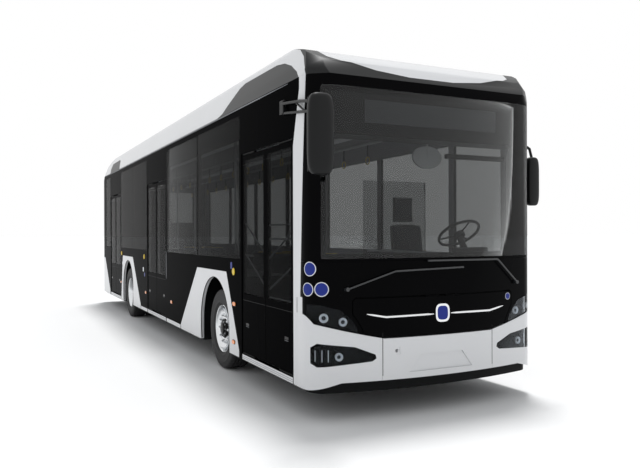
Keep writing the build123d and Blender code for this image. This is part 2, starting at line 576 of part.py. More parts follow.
def tyre(x, y):
    half = TYRE_W / 2
    outline = [(RIM_R, -half * 0.8), (RIM_R + 55, -half), (TYRE_R - 55, -half), (TYRE_R, -half * 0.75),
               (TYRE_R, half * 0.75), (TYRE_R - 55, half), (RIM_R + 55, half), (RIM_R, half * 0.8),
               (RIM_R + 25, half * 0.5), (RIM_R + 25, -half * 0.5)]
    return Pos(x, y, TYRE_R) * ring(outline)


def rim(x, y, side, dish):
    half = TYRE_W / 2
    r = RIM_R - FIT
    outline = [(r, half * 0.8), (r - 14, half * 0.8), (r - 42, half * 0.35), (r - 50, dish + 28),
               (190, dish), (110, dish), (110, dish - 12), (195, dish - 12), (r - 66, dish + 10),
               (r - 26, half * 0.2), (r - 26, -half * 0.5), (r - 10, -half * 0.8), (r, -half * 0.8)]
    body = ring(outline)
    if side < 0:
        body = mirrored(body)
    return Pos(x, y, TYRE_R) * body


def hub(x, side, y0, y1, r):
    return drum_y(x, TYRE_R, r, side * y0, side * y1, 24)


def stud_holes(x, y):
    holes = []
    for k in range(STUDS):
        a = radians(360 * k / STUDS)
        hole_x, hole_z = x + STUD_CIRCLE_R * cos(a), TYRE_R + STUD_CIRCLE_R * sin(a)
        holes.append(disc_y(hole_x, hole_z, STUD_HOLE_R, y - 25, y + 25))
    return holes


FORK_HALF = 125
FRONT_DISH = 85
REAR_DISH = -100
front_tyre = {s: tyre(FRONT_AXLE_X, s * FRONT_WHEEL_Y) for s in (1, -1)}
front_rim = {}
rear_tyre = {}
rear_rim = {}
knuckle = {}
for s in (1, -1):
    y = FRONT_WHEEL_Y
    front_rim[s] = rim(FRONT_AXLE_X, s * y, s, FRONT_DISH)
    front_rim[s] += hub(FRONT_AXLE_X, s, y - 20, y + FRONT_DISH + 35, 109.5)
    front_rim[s] += hub(FRONT_AXLE_X, s, y + FRONT_DISH - 12, y + FRONT_DISH, 120)
    front_rim[s] -= stud_holes(FRONT_AXLE_X, s * (y + FRONT_DISH - 6))
    k = disc_z(FRONT_AXLE_X, s * KINGPIN_Y, 45, TYRE_R - FORK_HALF + FIT, TYRE_R + FORK_HALF - FIT)
    k += disc_y(FRONT_AXLE_X, TYRE_R, 60, s * KINGPIN_Y, s * (y - 20 - FIT))
    k += disc_y(FRONT_AXLE_X, TYRE_R, FORK_HALF - 8, s * (KINGPIN_Y + 50), s * (KINGPIN_Y + 70))
    steering_arm = box(FRONT_AXLE_X - 200, FRONT_AXLE_X, s * (KINGPIN_Y + 5), s * (KINGPIN_Y + 35),
                       TYRE_R - 110, TYRE_R - 80)
    k += steering_arm
    knuckle[s] = k
    y = REAR_WHEEL_Y
    inner_y = y - TWIN_PITCH
    rear_tyre[s] = [tyre(REAR_AXLE_X, s * y), tyre(REAR_AXLE_X, s * inner_y)]
    outer_rim = rim(REAR_AXLE_X, s * y, s, REAR_DISH)
    outer_rim += hub(REAR_AXLE_X, s, y + REAR_DISH - 12, y + 20, 112)
    inner_rim = rim(REAR_AXLE_X, s * inner_y, -s, REAR_DISH)
    inner_rim += hub(REAR_AXLE_X, s, inner_y - REAR_DISH, y + REAR_DISH - 12, 150)
    inner_rim += hub(REAR_AXLE_X, s, inner_y - 40, inner_y + 110, 112)
    rear_rim[s] = (outer_rim - stud_holes(REAR_AXLE_X, s * (y + REAR_DISH - 6))) + inner_rim

# Axles
front_axle = box(FRONT_AXLE_X - 60, FRONT_AXLE_X + 60, -640, 640, 165, 235)
for s in (1, -1):
    beam_end = [(s * 560, 165), (s * 660, 165), (s * 860, TYRE_R - 160), (s * 860, TYRE_R + 170),
                (s * 780, TYRE_R + 170), (s * 780, TYRE_R - 120)]
    front_axle += prism_x(beam_end, FRONT_AXLE_X - 50, FRONT_AXLE_X + 50)
    for z in (TYRE_R - FORK_HALF - 25, TYRE_R + FORK_HALF):
        front_axle += box(FRONT_AXLE_X - 50, FRONT_AXLE_X + 50, s * 790, s * (KINGPIN_Y + 40), z, z + 25)
    for x in (-40, 40):
        front_axle += disc_z(FRONT_AXLE_X + x, s * 420, 30, 230, FLOOR_Z - FLOOR_THICK)
rear_axle = box(REAR_AXLE_X - 90, REAR_AXLE_X + 90, -640, 640, 160, 235)
for s in (1, -1):
    rear_axle += box(REAR_AXLE_X - 120, REAR_AXLE_X + 120, s * 590, s * 640, 160, TYRE_R + 120)
    rear_axle += disc_y(REAR_AXLE_X, TYRE_R, 100, s * 590, s * (REAR_WHEEL_Y - TWIN_PITCH - 40 - FIT))
    rear_axle += disc_z(REAR_AXLE_X, s * 420, 60, 230, FLOOR_Z - FLOOR_THICK)

# Doors
arm_nodes = {}
leaf_nodes = {}
PIVOT_Y = -HALF_W + LEAF_INSET + LEAF_THICK / 2
LOW_ARM = FLOOR_Z + ARM_LIFT
LEAF_LOW = LOW_ARM + ARM_THICK + ARM_LIFT
HIGH_ARM = DOOR_TOP - ARM_LIFT - ARM_THICK
LEAF_TOP = HIGH_ARM - ARM_LIFT
ARM_LEVELS = [(LOW_ARM, FLOOR_Z, LEAF_LOW), (HIGH_ARM, DOOR_TOP, LEAF_TOP)]
ARM_END = 14
ARM_PIN_R = 12
for name, x_mid, width in DOORS:
    arm_len = (width / 2 - PIVOT_INSET - LEAF_LEAD - MEETING_GAP / 2) / 2
    for end, s in (("rear", 1), ("front", -1)):
        px = x_mid - s * (width / 2 - PIVOT_INSET)
        cx = px + s * arm_len
        low_x, high_x = min(px, cx) - ARM_END, max(px, cx) + ARM_END
        arms = []
        for z0, jamb_z, leaf_z in ARM_LEVELS:
            arm = box(low_x, high_x, PIVOT_Y - ARM_WIDTH / 2, PIVOT_Y + ARM_WIDTH / 2, z0, z0 + ARM_THICK)
            arm = chamfer(arm.edges().filter_by(Axis.Z), 10)
            arm += pin_z(px, PIVOT_Y, ARM_PIN_R, z0, jamb_z)
            arm += pin_z(cx, PIVOT_Y, ARM_PIN_R, z0, leaf_z)
            arms.append(arm)
        arm_nodes[name + "_door_arm_" + end] = bound(arms)
        x_tail = px - s * LEAF_TAIL
        x_lead = px + s * (2 * arm_len + LEAF_LEAD)
        x0, x1 = min(x_tail, x_lead), max(x_tail, x_lead)
        y0, y1 = PIVOT_Y - LEAF_THICK / 2, PIVOT_Y + LEAF_THICK / 2
        frame = box(x0, x1, y0, y1, LEAF_LOW, LEAF_TOP)
        sight = (x0 + LEAF_FRAME, x1 - LEAF_FRAME, LEAF_LOW + LEAF_SOLID_H, LEAF_TOP - LEAF_FRAME)
        frame -= box(sight[0], sight[1], y0 - 9, y1 + 9, sight[2], sight[3])
        window = box(sight[0] + FIT, sight[1] - FIT, y0, y0 + PANE, sight[2] + FIT, sight[3] - FIT)
        leaf_nodes[name + "_door_leaf_" + end] = bound([frame, window])

# Mirrors: a long arm carries the right one ahead of the windscreen, a short bracket holds the left one
MIRROR_OUT_Y = 1455
RIGHT_HEAD_X = NOSE_X + 180
RIGHT_HEAD_Y = MIRROR_OUT_Y - 115
right_head = box(RIGHT_HEAD_X - 60, RIGHT_HEAD_X + 60, -RIGHT_HEAD_Y - 115, -RIGHT_HEAD_Y + 115, 2130, 2795)
right_elbow = (NOSE_X - 60, -HALF_W - 45, 2770)
right_arm = tube((NOSE_X - 705, -HALF_W - 30, 2850), right_elbow, 22)
right_arm += tube(right_elbow, (RIGHT_HEAD_X, -RIGHT_HEAD_Y, 2730), 22)
right_arm += box(NOSE_X - 760, NOSE_X - 660, -HALF_W, -HALF_W - 34, 2760, 2900)
LEFT_HEAD_X = NOSE_X - 290
left_head = box(LEFT_HEAD_X - 55, LEFT_HEAD_X + 55, MIRROR_OUT_Y - 150, MIRROR_OUT_Y, 1940, 2450)
left_arm = tube((LEFT_HEAD_X - 90, HALF_W + 20, 2560), (LEFT_HEAD_X, MIRROR_OUT_Y - 75, 2420), 20)
left_arm += box(LEFT_HEAD_X - 140, LEFT_HEAD_X - 50, HALF_W, HALF_W + 24, 2500, 2620)
mirror_parts = [chamfer(right_head.edges(), 28) + right_arm, chamfer(left_head.edges(), 28) + left_arm]

# Wipers: side of the pivot, elbow and tip as Y and Z
WIPERS = [(-1, (-510, 1315), (235, 1335)), (1, (670, 1400), (-165, 1402))]
WIPER_PIVOT = (960, 1165)


def nose_at(y, z):
    lean = 80 * max(0, z - 900) / (CANT_Z - 1100)
    return min(NOSE_X - lean, NOSE_X - NOSE_RADIUS + sqrt(NOSE_RADIUS ** 2 - y ** 2))


SPINDLE_R = 18
ARM_OUT = 32
wipers = []
for s, elbow, tip in WIPERS:
    py, pz = s * WIPER_PIVOT[0], WIPER_PIVOT[1]
    out = nose_at(py, pz)
    spindle = tube((out - 30, py, pz), (out + ARM_OUT + 6, py, pz), SPINDLE_R)
    front_mask -= tube((out - 90, py, pz), (out + 60, py, pz), SPINDLE_R + FIT)
    ends = [(out + ARM_OUT, py, pz), (nose_at(*elbow) + ARM_OUT, *elbow), (nose_at(*tip) + ARM_OUT, *tip)]
    wipers.append(spindle + tube(ends[0], ends[1], 8) + tube(ends[1], ends[2], 9))

# Sign box and mirror behind the windscreen
SIGN_LOW = CANT_Z - 520
MIRROR_LOW_X, MIRROR_LOW_Z = NOSE_X - 420, SIGN_LOW - 130
sign_box = LINING & box(NOSE_X - 420, NOSE_X - 130, -1120, 1120, SIGN_LOW, CEILING_Z - FIT)
inner_mirror = Pos(MIRROR_LOW_X, 120, MIRROR_LOW_Z) * Rot(0, 90, 0) * extrude(Ellipse(110, 170), 25)
inner_mirror += tube((MIRROR_LOW_X + 20, 120, MIRROR_LOW_Z), (MIRROR_LOW_X + 20, 120, SIGN_LOW - FIT), 8)

# Inside
SEAT_W = 430


def seat(x, y, z, facing=1):
    cushion = box(x - 210 * facing, x + 210 * facing, y - SEAT_W / 2, y + SEAT_W / 2, z + 380, z + 450)
    back = prism_y([(x - 210 * facing, z + 400), (x - 150 * facing, z + 400), (x - 240 * facing, z + 1000),
                    (x - 290 * facing, z + 1000)], y - SEAT_W / 2, y + SEAT_W / 2)
    leg = box(x - 60, x + 60, y - 100, y + 100, z, z + 381)
    return cushion + back + leg


SEATS = [
    (FRONT_AXLE_X - 1050, 980, FLOOR_Z), (FRONT_AXLE_X - 1050, 530, FLOOR_Z),
    (FRONT_AXLE_X - 1850, 980, FLOOR_Z), (FRONT_AXLE_X - 1850, 530, FLOOR_Z),
    (FRONT_AXLE_X - 1050, -980, FLOOR_Z), (FRONT_AXLE_X - 1850, -980, FLOOR_Z),
    (FRONT_AXLE_X - 2650, 980, FLOOR_Z), (FRONT_AXLE_X - 2650, 530, FLOOR_Z),
    (REAR_AXLE_X - 1000, 980, FLOOR_Z), (REAR_AXLE_X - 1000, 530, FLOOR_Z),
    (REAR_AXLE_X - 1800, 980, FLOOR_Z), (REAR_AXLE_X - 1800, 530, FLOOR_Z),
]
seats = [seat(*row) for row in SEATS]
DRIVER_X = NOSE_X - 1500
DRIVER_Y = 760
DRIVER_FLOOR = 760
driver_seat = seat(DRIVER_X, DRIVER_Y, DRIVER_FLOOR)
driver_seat += box(DRIVER_X - 330, DRIVER_X - 270, DRIVER_Y - 140, DRIVER_Y + 140,
                   DRIVER_FLOOR + 960, DRIVER_FLOOR + 1330)
driver_platform = box(NOSE_X - 2000, NOSE_X - 700, 330, HALF_W - SKIN - FIT, FLOOR_Z, DRIVER_FLOOR)
driver_platform -= wheel_house(FRONT_AXLE_X, FRONT_HOUSE_HALF, HOUSE_WALL + FIT)
# Dashboard: a hollow housing on the driver's side, a low shelf ahead of the front door
DASH_WALL = 14
DASH_IN_Y = 330
SHELF_X = NOSE_X - 490


def dash_shell(back, front, low, top_back, top_front, y0, y1):
    ridge = (back + front) / 2 + 40
    outline = [(back, low), (front, low), (front, top_front), (ridge, top_front + 60), (back, top_back)]
    room = [(back + DASH_WALL, low - 9), (front - DASH_WALL, low - 9),
            (front - DASH_WALL, top_front - DASH_WALL), (ridge, top_front + 60 - DASH_WALL),
            (back + DASH_WALL, top_back - DASH_WALL)]
    return prism_y(outline, y0, y1) - prism_y(room, y0 + DASH_WALL, y1 - DASH_WALL)


dashboard = dash_shell(NOSE_X - 699, NOSE_X - 320, FLOOR_Z, 1300, 1340, DASH_IN_Y, HALF_W - SKIN - 60)
dashboard += dash_shell(SHELF_X, NOSE_X - 250, FLOOR_Z, 1180, 1240, -900, DASH_IN_Y + DASH_WALL)
partition = box(NOSE_X - 2040, NOSE_X - 2005, 330, HALF_W - SKIN - FIT, FLOOR_Z, 2300)
partition -= wheel_house(FRONT_AXLE_X, FRONT_HOUSE_HALF, HOUSE_WALL + FIT)
STEER_X, STEER_Y, STEER_Z = NOSE_X - 760, 780, 1640
STEER_TILT = 35
column_dir = (sin(radians(STEER_TILT)), 0, -cos(radians(STEER_TILT)))
wheel_plane = Plane((STEER_X, STEER_Y, STEER_Z), z_dir=(-column_dir[0], 0, -column_dir[2]))
rim_outline = [(210, -9), (210, 9), (219, 17), (231, 17), (240, 9), (240, -9), (231, -17), (219, -17)]
steering_wheel = wheel_plane * (Rot(-90, 0, 0) * ring(rim_outline, 24))
steering_wheel += wheel_plane * Pos(0, 0, -20) * Cylinder(60, 50)
for a in (0, 120, 240):
    steering_wheel += wheel_plane * Rot(0, 0, a) * Pos(112, 0, -8) * Box(226, 30, 12)
column = wheel_plane * Pos(0, 0, -45 - FIT - 160) * Cylinder(35, 320)
dashboard += column
POLES = [
    (FRONT_AXLE_X - 700, 290, FLOOR_Z), (FRONT_AXLE_X - 900, -700, FLOOR_Z),
    (FRONT_AXLE_X - 2250, 290, FLOOR_Z), (REAR_AXLE_X + 1900, 400, FLOOR_Z),
    (REAR_AXLE_X - 700, 290, FLOOR_Z), (REAR_AXLE_X - 2200, 290, FLOOR_Z),
]
handrails = [disc_z(x, y, 17, z, CEILING_Z) for x, y, z in POLES]
CABINET = (TAIL_X + BUMPER_PROUD + SKIN + FIT, TAIL_X + 900)
cabinet = box(CABINET[0], CABINET[1], -1100, 1100, FLOOR_Z, 1250)

nodes = {
    "underframe": underframe,
    "wheel_houses": bound(wheel_houses),
    "side_wall_right": walls[-1],
    "side_wall_left": walls[1],
    "white_panels": bound(wheel_panels + strips + corner_panels),
    "window_glass": bound(glass),
    "windscreen": windscreen,
    "front_frame": bound([front_frame, brow]),
    "front_mask": front_mask,
    "front_flap": flap,
    "bumpers": bound([bumper_mid, bumper_left, bumper_right, rear_bumper]),
    "lamp_units": bound(lamp_parts + [mirrored(part) for part in lamp_parts]),
    "rear_wall": rear_wall,
    "rear_lid": lid,
    "roof_shell": roof_shell,
    "roof_fairing": fairing,
    "roof_inlays": bound(inlays),
    "roof_housings": bound(housings),
    "sign_box": sign_box,
    "axles": bound([front_axle, rear_axle]),
    "mirrors": bound(mirror_parts + [inner_mirror]),
    "wipers": bound(wipers),
    "passenger_seats": bound(seats),
    "driver_seat": driver_seat,
    "driver_cab": bound([driver_platform, partition, dashboard]),
    "steering_wheel": steering_wheel,
    "handrails": bound(handrails),
    "power_cabinet": cabinet,
}
for s, end in ((1, "left"), (-1, "right")):
    nodes["knuckle_" + end] = knuckle[s]
    nodes["front_tyre_" + end] = front_tyre[s]
    nodes["front_rim_" + end] = front_rim[s]
    nodes["rear_tyre_" + end] = bound(rear_tyre[s])
    nodes["rear_rim_" + end] = rear_rim[s]
nodes.update(arm_nodes)
nodes.update(leaf_nodes)
for node, shape in nodes.items():
    whole = shape if isinstance(shape, Compound) else Compound(children=shape.solids())
    export_step(whole, "parts/" + node + ".step")
    print(node, len(shape.solids()), round(shape.volume / 1e9, 4))
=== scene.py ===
# %% [markdown]
# A twelve-metre city bus, seen from its right front corner. The CAD model gives every panel its
# real place and thickness. This lesson gives the panels their paint and glass, and adds what is
# too fine for the CAD model: tread, wheel nuts, lamp optics, seals, rails, pads and markers.
# The frame has +X to the front, +Y to the left and +Z up, in metres.

# %% Setup
import json
import math
from contextlib import contextmanager

import bmesh
import bpy
from mathutils import Matrix, Vector
from mathutils.bvhtree import BVHTree

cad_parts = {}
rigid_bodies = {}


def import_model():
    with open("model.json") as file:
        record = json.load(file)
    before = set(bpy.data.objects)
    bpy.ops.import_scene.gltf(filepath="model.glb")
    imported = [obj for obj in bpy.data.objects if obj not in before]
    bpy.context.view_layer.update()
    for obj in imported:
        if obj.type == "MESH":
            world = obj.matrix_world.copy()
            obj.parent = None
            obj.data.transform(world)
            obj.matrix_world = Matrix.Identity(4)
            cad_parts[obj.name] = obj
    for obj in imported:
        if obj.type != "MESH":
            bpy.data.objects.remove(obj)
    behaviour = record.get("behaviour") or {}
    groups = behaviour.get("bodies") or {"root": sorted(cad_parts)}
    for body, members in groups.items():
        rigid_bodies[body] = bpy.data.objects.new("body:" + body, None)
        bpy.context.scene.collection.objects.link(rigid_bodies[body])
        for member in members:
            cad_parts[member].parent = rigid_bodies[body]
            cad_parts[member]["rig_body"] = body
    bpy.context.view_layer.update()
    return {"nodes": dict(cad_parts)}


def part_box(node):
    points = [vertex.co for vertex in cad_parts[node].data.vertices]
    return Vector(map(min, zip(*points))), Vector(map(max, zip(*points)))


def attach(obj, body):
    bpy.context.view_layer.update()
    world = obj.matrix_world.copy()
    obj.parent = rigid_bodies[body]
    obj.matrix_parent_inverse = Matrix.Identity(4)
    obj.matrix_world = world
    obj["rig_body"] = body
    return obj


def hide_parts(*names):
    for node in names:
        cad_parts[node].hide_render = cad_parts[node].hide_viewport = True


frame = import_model()
NODES = frame["nodes"]
# Both sides of the bus: the sign of Y, and the word in a piece's name
SIDES = ((1, "left"), (-1, "right"))
QUARTER = math.pi / 2
print("nodes:", len(NODES))


def in_scene(name, data):
    obj = bpy.data.objects.new(name, data)
    bpy.context.scene.collection.objects.link(obj)
    return obj


def moved(x, y, z):
    return Matrix.Translation((x, y, z))


def spun(angle, axis):
    return Matrix.Rotation(angle, 4, axis)


# %% [markdown]
# The camera comes first, because a few small pieces are placed by a pixel of the photograph.
# Its place, turn and focal length were worked out from the wheels, the roof line and the doors,
# whose real sizes are known. The sensor is 36 mm wide and the image has 640 by 468 pixels.

# %% Camera
IMAGE_W, IMAGE_H = 640, 468
SENSOR_MM = 36.0
FOCAL_PX = 667.4
CAM = Vector((10.92, -3.739, 1.651))
YAW = math.radians(153.79)
PITCH = math.radians(-0.02)
ROLL = math.radians(0.18)
cam_data = bpy.data.cameras.new("photo")
cam_data.sensor_width = SENSOR_MM
cam_data.lens = FOCAL_PX / IMAGE_W * SENSOR_MM
cam = in_scene("photo", cam_data)
view = Vector((math.cos(YAW) * math.cos(PITCH), math.sin(YAW) * math.cos(PITCH), math.sin(PITCH)))
right = view.cross(Vector((0, 0, 1))).normalized()
up = right.cross(view)
turn = Matrix.Rotation(ROLL, 3, view)
right, up = turn @ right, turn @ up
cam.matrix_world = moved(*CAM) @ Matrix((right, up, -view)).transposed().to_4x4()
bpy.context.scene.camera = cam
print("camera lens mm:", round(cam_data.lens, 2))


# %% [markdown]
# Finishes. Every finish starts from the real material: two-pack enamel on glass fibre panels,
# moulded ABS, EPDM rubber, forged aluminium, toughened glass, vinyl and wool moquette. Colours
# are sRGB codes that one function turns to linear. Fine relief comes from noise whose scale is
# a real size in millimetres, so each surface catches the light as its own process left it.

# %% Colour and node helpers
def linear(code):
    out = []
    for i in (1, 3, 5):
        c = int(code[i:i + 2], 16) / 255
        out.append(c / 12.92 if c <= 0.04045 else ((c + 0.055) / 1.055) ** 2.4)
    return (*out, 1.0)


def add(tree, kind, links=(), **settings):
    node = tree.nodes.new(kind)
    for key, value in settings.items():
        if hasattr(node, key):
            setattr(node, key, value)
        else:
            node.inputs[key.replace("_", " ")].default_value = value
    for socket, source in links:
        tree.links.new(source, node.inputs[socket])
    return node


def finish(name, code, rough=0.5, metal=0.0, coat=0.0, ior=1.5, glow=0.0):
    mat = bpy.data.materials.new(name)
    mat.use_nodes = True
    values = {"Base Color": linear(code), "Roughness": rough, "Metallic": metal, "Coat Weight": coat,
              "Coat Roughness": 0.04, "IOR": ior}
    if glow:
        values.update({"Emission Color": linear(code), "Emission Strength": glow})
    for key, value in values.items():
        mat.node_tree.nodes["Principled BSDF"].inputs[key].default_value = value
    mat.diffuse_color = linear(code)
    return mat


def grained(name, code, rough, grain_mm, relief_mm, shade=0.0, cloud_mm=900.0, **rest):
    # A finish with the relief of its process, and a slow change of tone over the piece
    mat = finish(name, code, rough, **rest)
    tree = mat.node_tree
    p = tree.nodes["Principled BSDF"]
    coord = add(tree, "ShaderNodeTexCoord")
    grain = add(tree, "ShaderNodeTexNoise", [("Vector", coord.outputs["Object"])],
                Scale=1000.0 / grain_mm, Detail=3.0)
    bump = add(tree, "ShaderNodeBump", [("Height", grain.outputs["Fac"])], Distance=relief_mm / 1000.0,
               Strength=1.0)
    tree.links.new(bump.outputs["Normal"], p.inputs["Normal"])
    if shade:
        cloud = add(tree, "ShaderNodeTexNoise", [("Vector", coord.outputs["Object"])],
                    Scale=1000.0 / cloud_mm, Detail=4.0)
        base = p.inputs["Base Color"].default_value[:3]
        ramp = add(tree, "ShaderNodeValToRGB", [("Fac", cloud.outputs["Fac"])])
        for stop, spot, tone in zip(ramp.color_ramp.elements, (0.35, 0.65), (1 - shade, 1 + shade)):
            stop.position = spot
            stop.color = (*[min(1.0, c * tone) for c in base], 1)
        tree.links.new(ramp.outputs["Color"], p.inputs["Base Color"])
    return mat


def pane_finish(name, tint, through, clear, ior):
    # Toughened glass: part of the light goes straight through the thin pane, the rest meets its
    # tint, and the Fresnel node adds the mirror image that grows towards the edges of the view
    mat = finish(name, tint, 0.3, ior=1.05)
    tree = mat.node_tree
    p = tree.nodes["Principled BSDF"]
    see = add(tree, "ShaderNodeBsdfTransparent", Color=linear(through))
    body = add(tree, "ShaderNodeMixShader", [(1, p.outputs["BSDF"]), (2, see.outputs["BSDF"])], Fac=clear)
    shine = add(tree, "ShaderNodeBsdfGlossy", Roughness=0.01, Color=(0.95, 0.95, 0.95, 1))
    edge = add(tree, "ShaderNodeFresnel", IOR=ior)
    mix = add(tree, "ShaderNodeMixShader", [("Fac", edge.outputs[0]), (1, body.outputs["Shader"]),
                                            (2, shine.outputs["BSDF"])])
    tree.links.new(mix.outputs["Shader"], tree.nodes["Material Output"].inputs["Surface"])
    return mat


# %% [markdown]
# Paint. White two-pack enamel is smooth with a faint orange peel of about 3 mm. The black
# panels are painted too, but they mirror a dark studio in the photograph, so their enamel has
# a low refractive index here: it keeps the sheen at the edges and stays deep black. Coated
# steel, pale ABS, roof gelcoat and the lamps' own finishes are set here too.

# %% Paint, housing and lamp finishes
WHITE = grained("white_enamel", "#dcdddf", 0.34, 3.0, 0.02, shade=0.015, coat=0.35)
BLACK = grained("black_enamel", "#060607", 0.18, 3.0, 0.015, shade=0.1, ior=1.09)
BLACK_SIDE = grained("black_panel_enamel", "#060607", 0.22, 2.0, 0.01, ior=1.02)
BLACK_STEEL = grained("coated_chassis_steel", "#08090a", 0.6, 2.0, 0.08, ior=1.2)
WIPER_STEEL = grained("black_satin_steel", "#26282a", 0.32, 1.5, 0.02, ior=1.6)
# The aluminised reflector has a faint emission: a painted glow that stands for its shine
REFLECTOR_PAINTED_GLOW = finish("aluminised_reflector_painted_glow", "#e9ebed", 0.35, metal=0.25, glow=0.12)
LAMP_GLASS = finish("projector_lens_glass", "#26282b", 0.06, ior=1.6)
PALE_ABS = grained("pale_grey_abs", "#b9bbbc", 0.45, 1.5, 0.04)
BROW = grained("black_satin_enamel", "#1b1c1d", 0.36, 3.0, 0.02, shade=0.1, ior=1.3)
ROOF_BOX = grained("white_gelcoat", "#d6d8da", 0.5, 5.0, 0.05, shade=0.03)
GREY = grained("grey_powder_coat", "#6f7276", 0.5, 1.5, 0.05, shade=0.06)
print("paint, housing and lamp finishes: 11")

# %% [markdown]
# Plastics and rubber. Moulded ABS has a spark-eroded grain of 1 to 2 mm. Tyre rubber is dull
# and a little uneven. EPDM seals are a soft black. Their relief is what tells them apart.

# %% Plastic, rubber and fabric finishes
PLASTIC = grained("moulded_black_abs", "#0e0f10", 0.42, 1.6, 0.06, ior=1.3)
GLOSS = grained("piano_black_abs", "#08090a", 0.14, 4.0, 0.01, ior=1.2)
DASH = grained("soft_touch_dash_skin", "#1d1e20", 0.62, 2.0, 0.12, shade=0.08)
RUBBER = grained("vulcanised_tyre_rubber", "#1b1b1c", 0.72, 4.0, 0.18, shade=0.15, cloud_mm=60.0)
SEAL = grained("epdm_seal_rubber", "#0d0d0e", 0.6, 3.0, 0.05, ior=1.3)
SHELL_GREY = grained("moulded_seat_shell", "#2b2d31", 0.45, 1.6, 0.06)
VINYL = grained("sprinkled_floor_vinyl", "#4b4d51", 0.6, 2.0, 0.05, shade=0.25, cloud_mm=6.0)
LINING = grained("laminated_ceiling_panel", "#8f9194", 0.6, 2.5, 0.04, shade=0.03)
MOQUETTE = finish("wool_moquette", "#2c3038", 0.95)
print("plastics and fabrics: 9")

# %% [markdown]
# Moquette is a cut pile with rows of thread. Two crossed wave textures on the object's own
# coordinates give the rows. The real pitch of about 1.3 mm is too fine to show, so it is 5 mm.

# %% Moquette rows
THREAD_MM = 5.0
tree = MOQUETTE.node_tree
coord = add(tree, "ShaderNodeTexCoord")
rows = [add(tree, "ShaderNodeTexWave", [("Vector", coord.outputs["Object"])], bands_direction=way,
            Scale=1000.0 / THREAD_MM / 20.0 * 2 * math.pi, Distortion=0.4) for way in ("X", "Y")]
weave = add(tree, "ShaderNodeMath", [(0, rows[0].outputs["Fac"]), (1, rows[1].outputs["Fac"])],
            operation="MULTIPLY")
bump = add(tree, "ShaderNodeBump", [("Height", weave.outputs[0])], Distance=0.0008, Strength=1.0)
cloth = tree.nodes["Principled BSDF"]
tree.links.new(bump.outputs["Normal"], cloth.inputs["Normal"])
cloth.inputs["Sheen Weight"].default_value = 0.25
print("moquette thread mm:", THREAD_MM)

# %% [markdown]
# Metals and glass. Forged aluminium rims are polished bright, rails are brushed stainless
# steel, chassis parts are black cathodic coat on steel. The side glass is privacy tinted,
# the windscreen and the lamp lenses are clear.

# %% Metal, glass and signal finishes
ALLOY = grained("polished_forged_aluminium", "#d9dbdd", 0.18, 8.0, 0.03, metal=1.0)
STEEL = grained("brushed_stainless_steel", "#b9bcbf", 0.28, 2.0, 0.02, metal=1.0)
CHROME = grained("chrome_plate", "#e6e7e8", 0.08, 20.0, 0.01, metal=1.0)
IRON = grained("cathodic_coated_steel", "#1e1f21", 0.55, 6.0, 0.25, shade=0.2, cloud_mm=90.0)
NUT_STEEL = grained("zinc_plated_nut_steel", "#a9abad", 0.3, 2.0, 0.05, metal=1.0)
GLASS = pane_finish("privacy_glass", "#060708", "#c9caca", 0.78, ior=1.028)
SCREEN = pane_finish("clear_windscreen_glass", "#1a1b1d", "#e5e6e6", 0.90, ior=1.3)
LENS = pane_finish("clear_lens_polycarbonate", "#0b0c0e", "#eef1f4", 0.92, ior=1.15)
AMBER = grained("amber_marker_acrylic", "#f08a3c", 0.2, 6.0, 0.1, coat=0.4, glow=0.12)
RED = grained("red_lamp_acrylic", "#a3151a", 0.2, 6.0, 0.1, coat=0.4, glow=0.05)
CLEAR = grained("ribbed_clear_acrylic", "#cfd3d6", 0.15, 6.0, 0.1, coat=0.4)
YELLOW = grained("yellow_button_abs", "#e9c930", 0.38, 2.0, 0.03)
BLUE = grained("blue_vinyl_film", "#1d2f86", 0.42, 5.0, 0.01, ior=1.3)
WHITE_FILM = grained("white_vinyl_film", "#e2e4e8", 0.42, 5.0, 0.01)
DISPLAY = grained("dark_display_glass", "#101214", 0.2, 8.0, 0.01, ior=1.4)
SIGN_FACE = grained("matt_sign_mesh", "#55575a", 0.55, 3.0, 0.1)
print("materials:", len(bpy.data.materials))

# %% [markdown]
# Panels. On the real bus the skins are glass fibre and pressed sheet with small rounded edges.
# Each CAD node is copied, its facets are joined into clean faces and its sharp edges get a
# small radius, so the light runs along them. The copy stands for the node and rides on its body.


# %% Working copies
WELD = 2e-5
FLAT = math.radians(0.4)


@contextmanager
def edited(mesh):
    # Opens a mesh for editing and writes it back
    bm = bmesh.new()
    bm.from_mesh(mesh)
    yield bm
    bm.to_mesh(mesh)
    bm.free()


def own_copy(node):
    return in_scene(node + "_look", NODES[node].data.copy())


def one_finish(obj, mat):
    obj.data.materials.clear()
    obj.data.materials.append(mat)


def clean(obj, angle=32.0):
    # Joins facets that lie in one plane, and shades smoothly except across sharp edges
    with edited(obj.data) as bm:
        bmesh.ops.remove_doubles(bm, verts=bm.verts, dist=WELD)
        bmesh.ops.dissolve_limit(bm, angle_limit=FLAT, verts=bm.verts, edges=bm.edges)
        for face in bm.faces:
            face.smooth = True
        for edge in bm.edges:
            edge.smooth = len(edge.link_faces) == 2 and edge.calc_face_angle(0) < math.radians(angle)
    if "custom_normal" in obj.data.attributes:
        obj.data.attributes.remove(obj.data.attributes["custom_normal"])
    return obj


def baked(obj):
    # Turns the modifiers into plain mesh
    graph = bpy.context.evaluated_depsgraph_get()
    graph.update()
    mesh = bpy.data.meshes.new_from_object(obj.evaluated_get(graph), depsgraph=graph)
    obj.modifiers.clear()
    obj.data = mesh
    return obj


def rounded(obj, radius):
    edge = obj.modifiers.new("edge", "BEVEL")
    edge.width = radius
    edge.segments = 2
    edge.limit_method = "ANGLE"
    edge.angle_limit = math.radians(40.0)
    edge.use_clamp_overlap = True
    return baked(obj)


def skin(node, mat, radius):
    # The copy that stands for a node and rides on its body
    obj = clean(own_copy(node))
    one_finish(obj, mat)
    if radius:
        rounded(obj, radius)
    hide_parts(node)
    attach(obj, NODES[node]["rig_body"])
    return obj


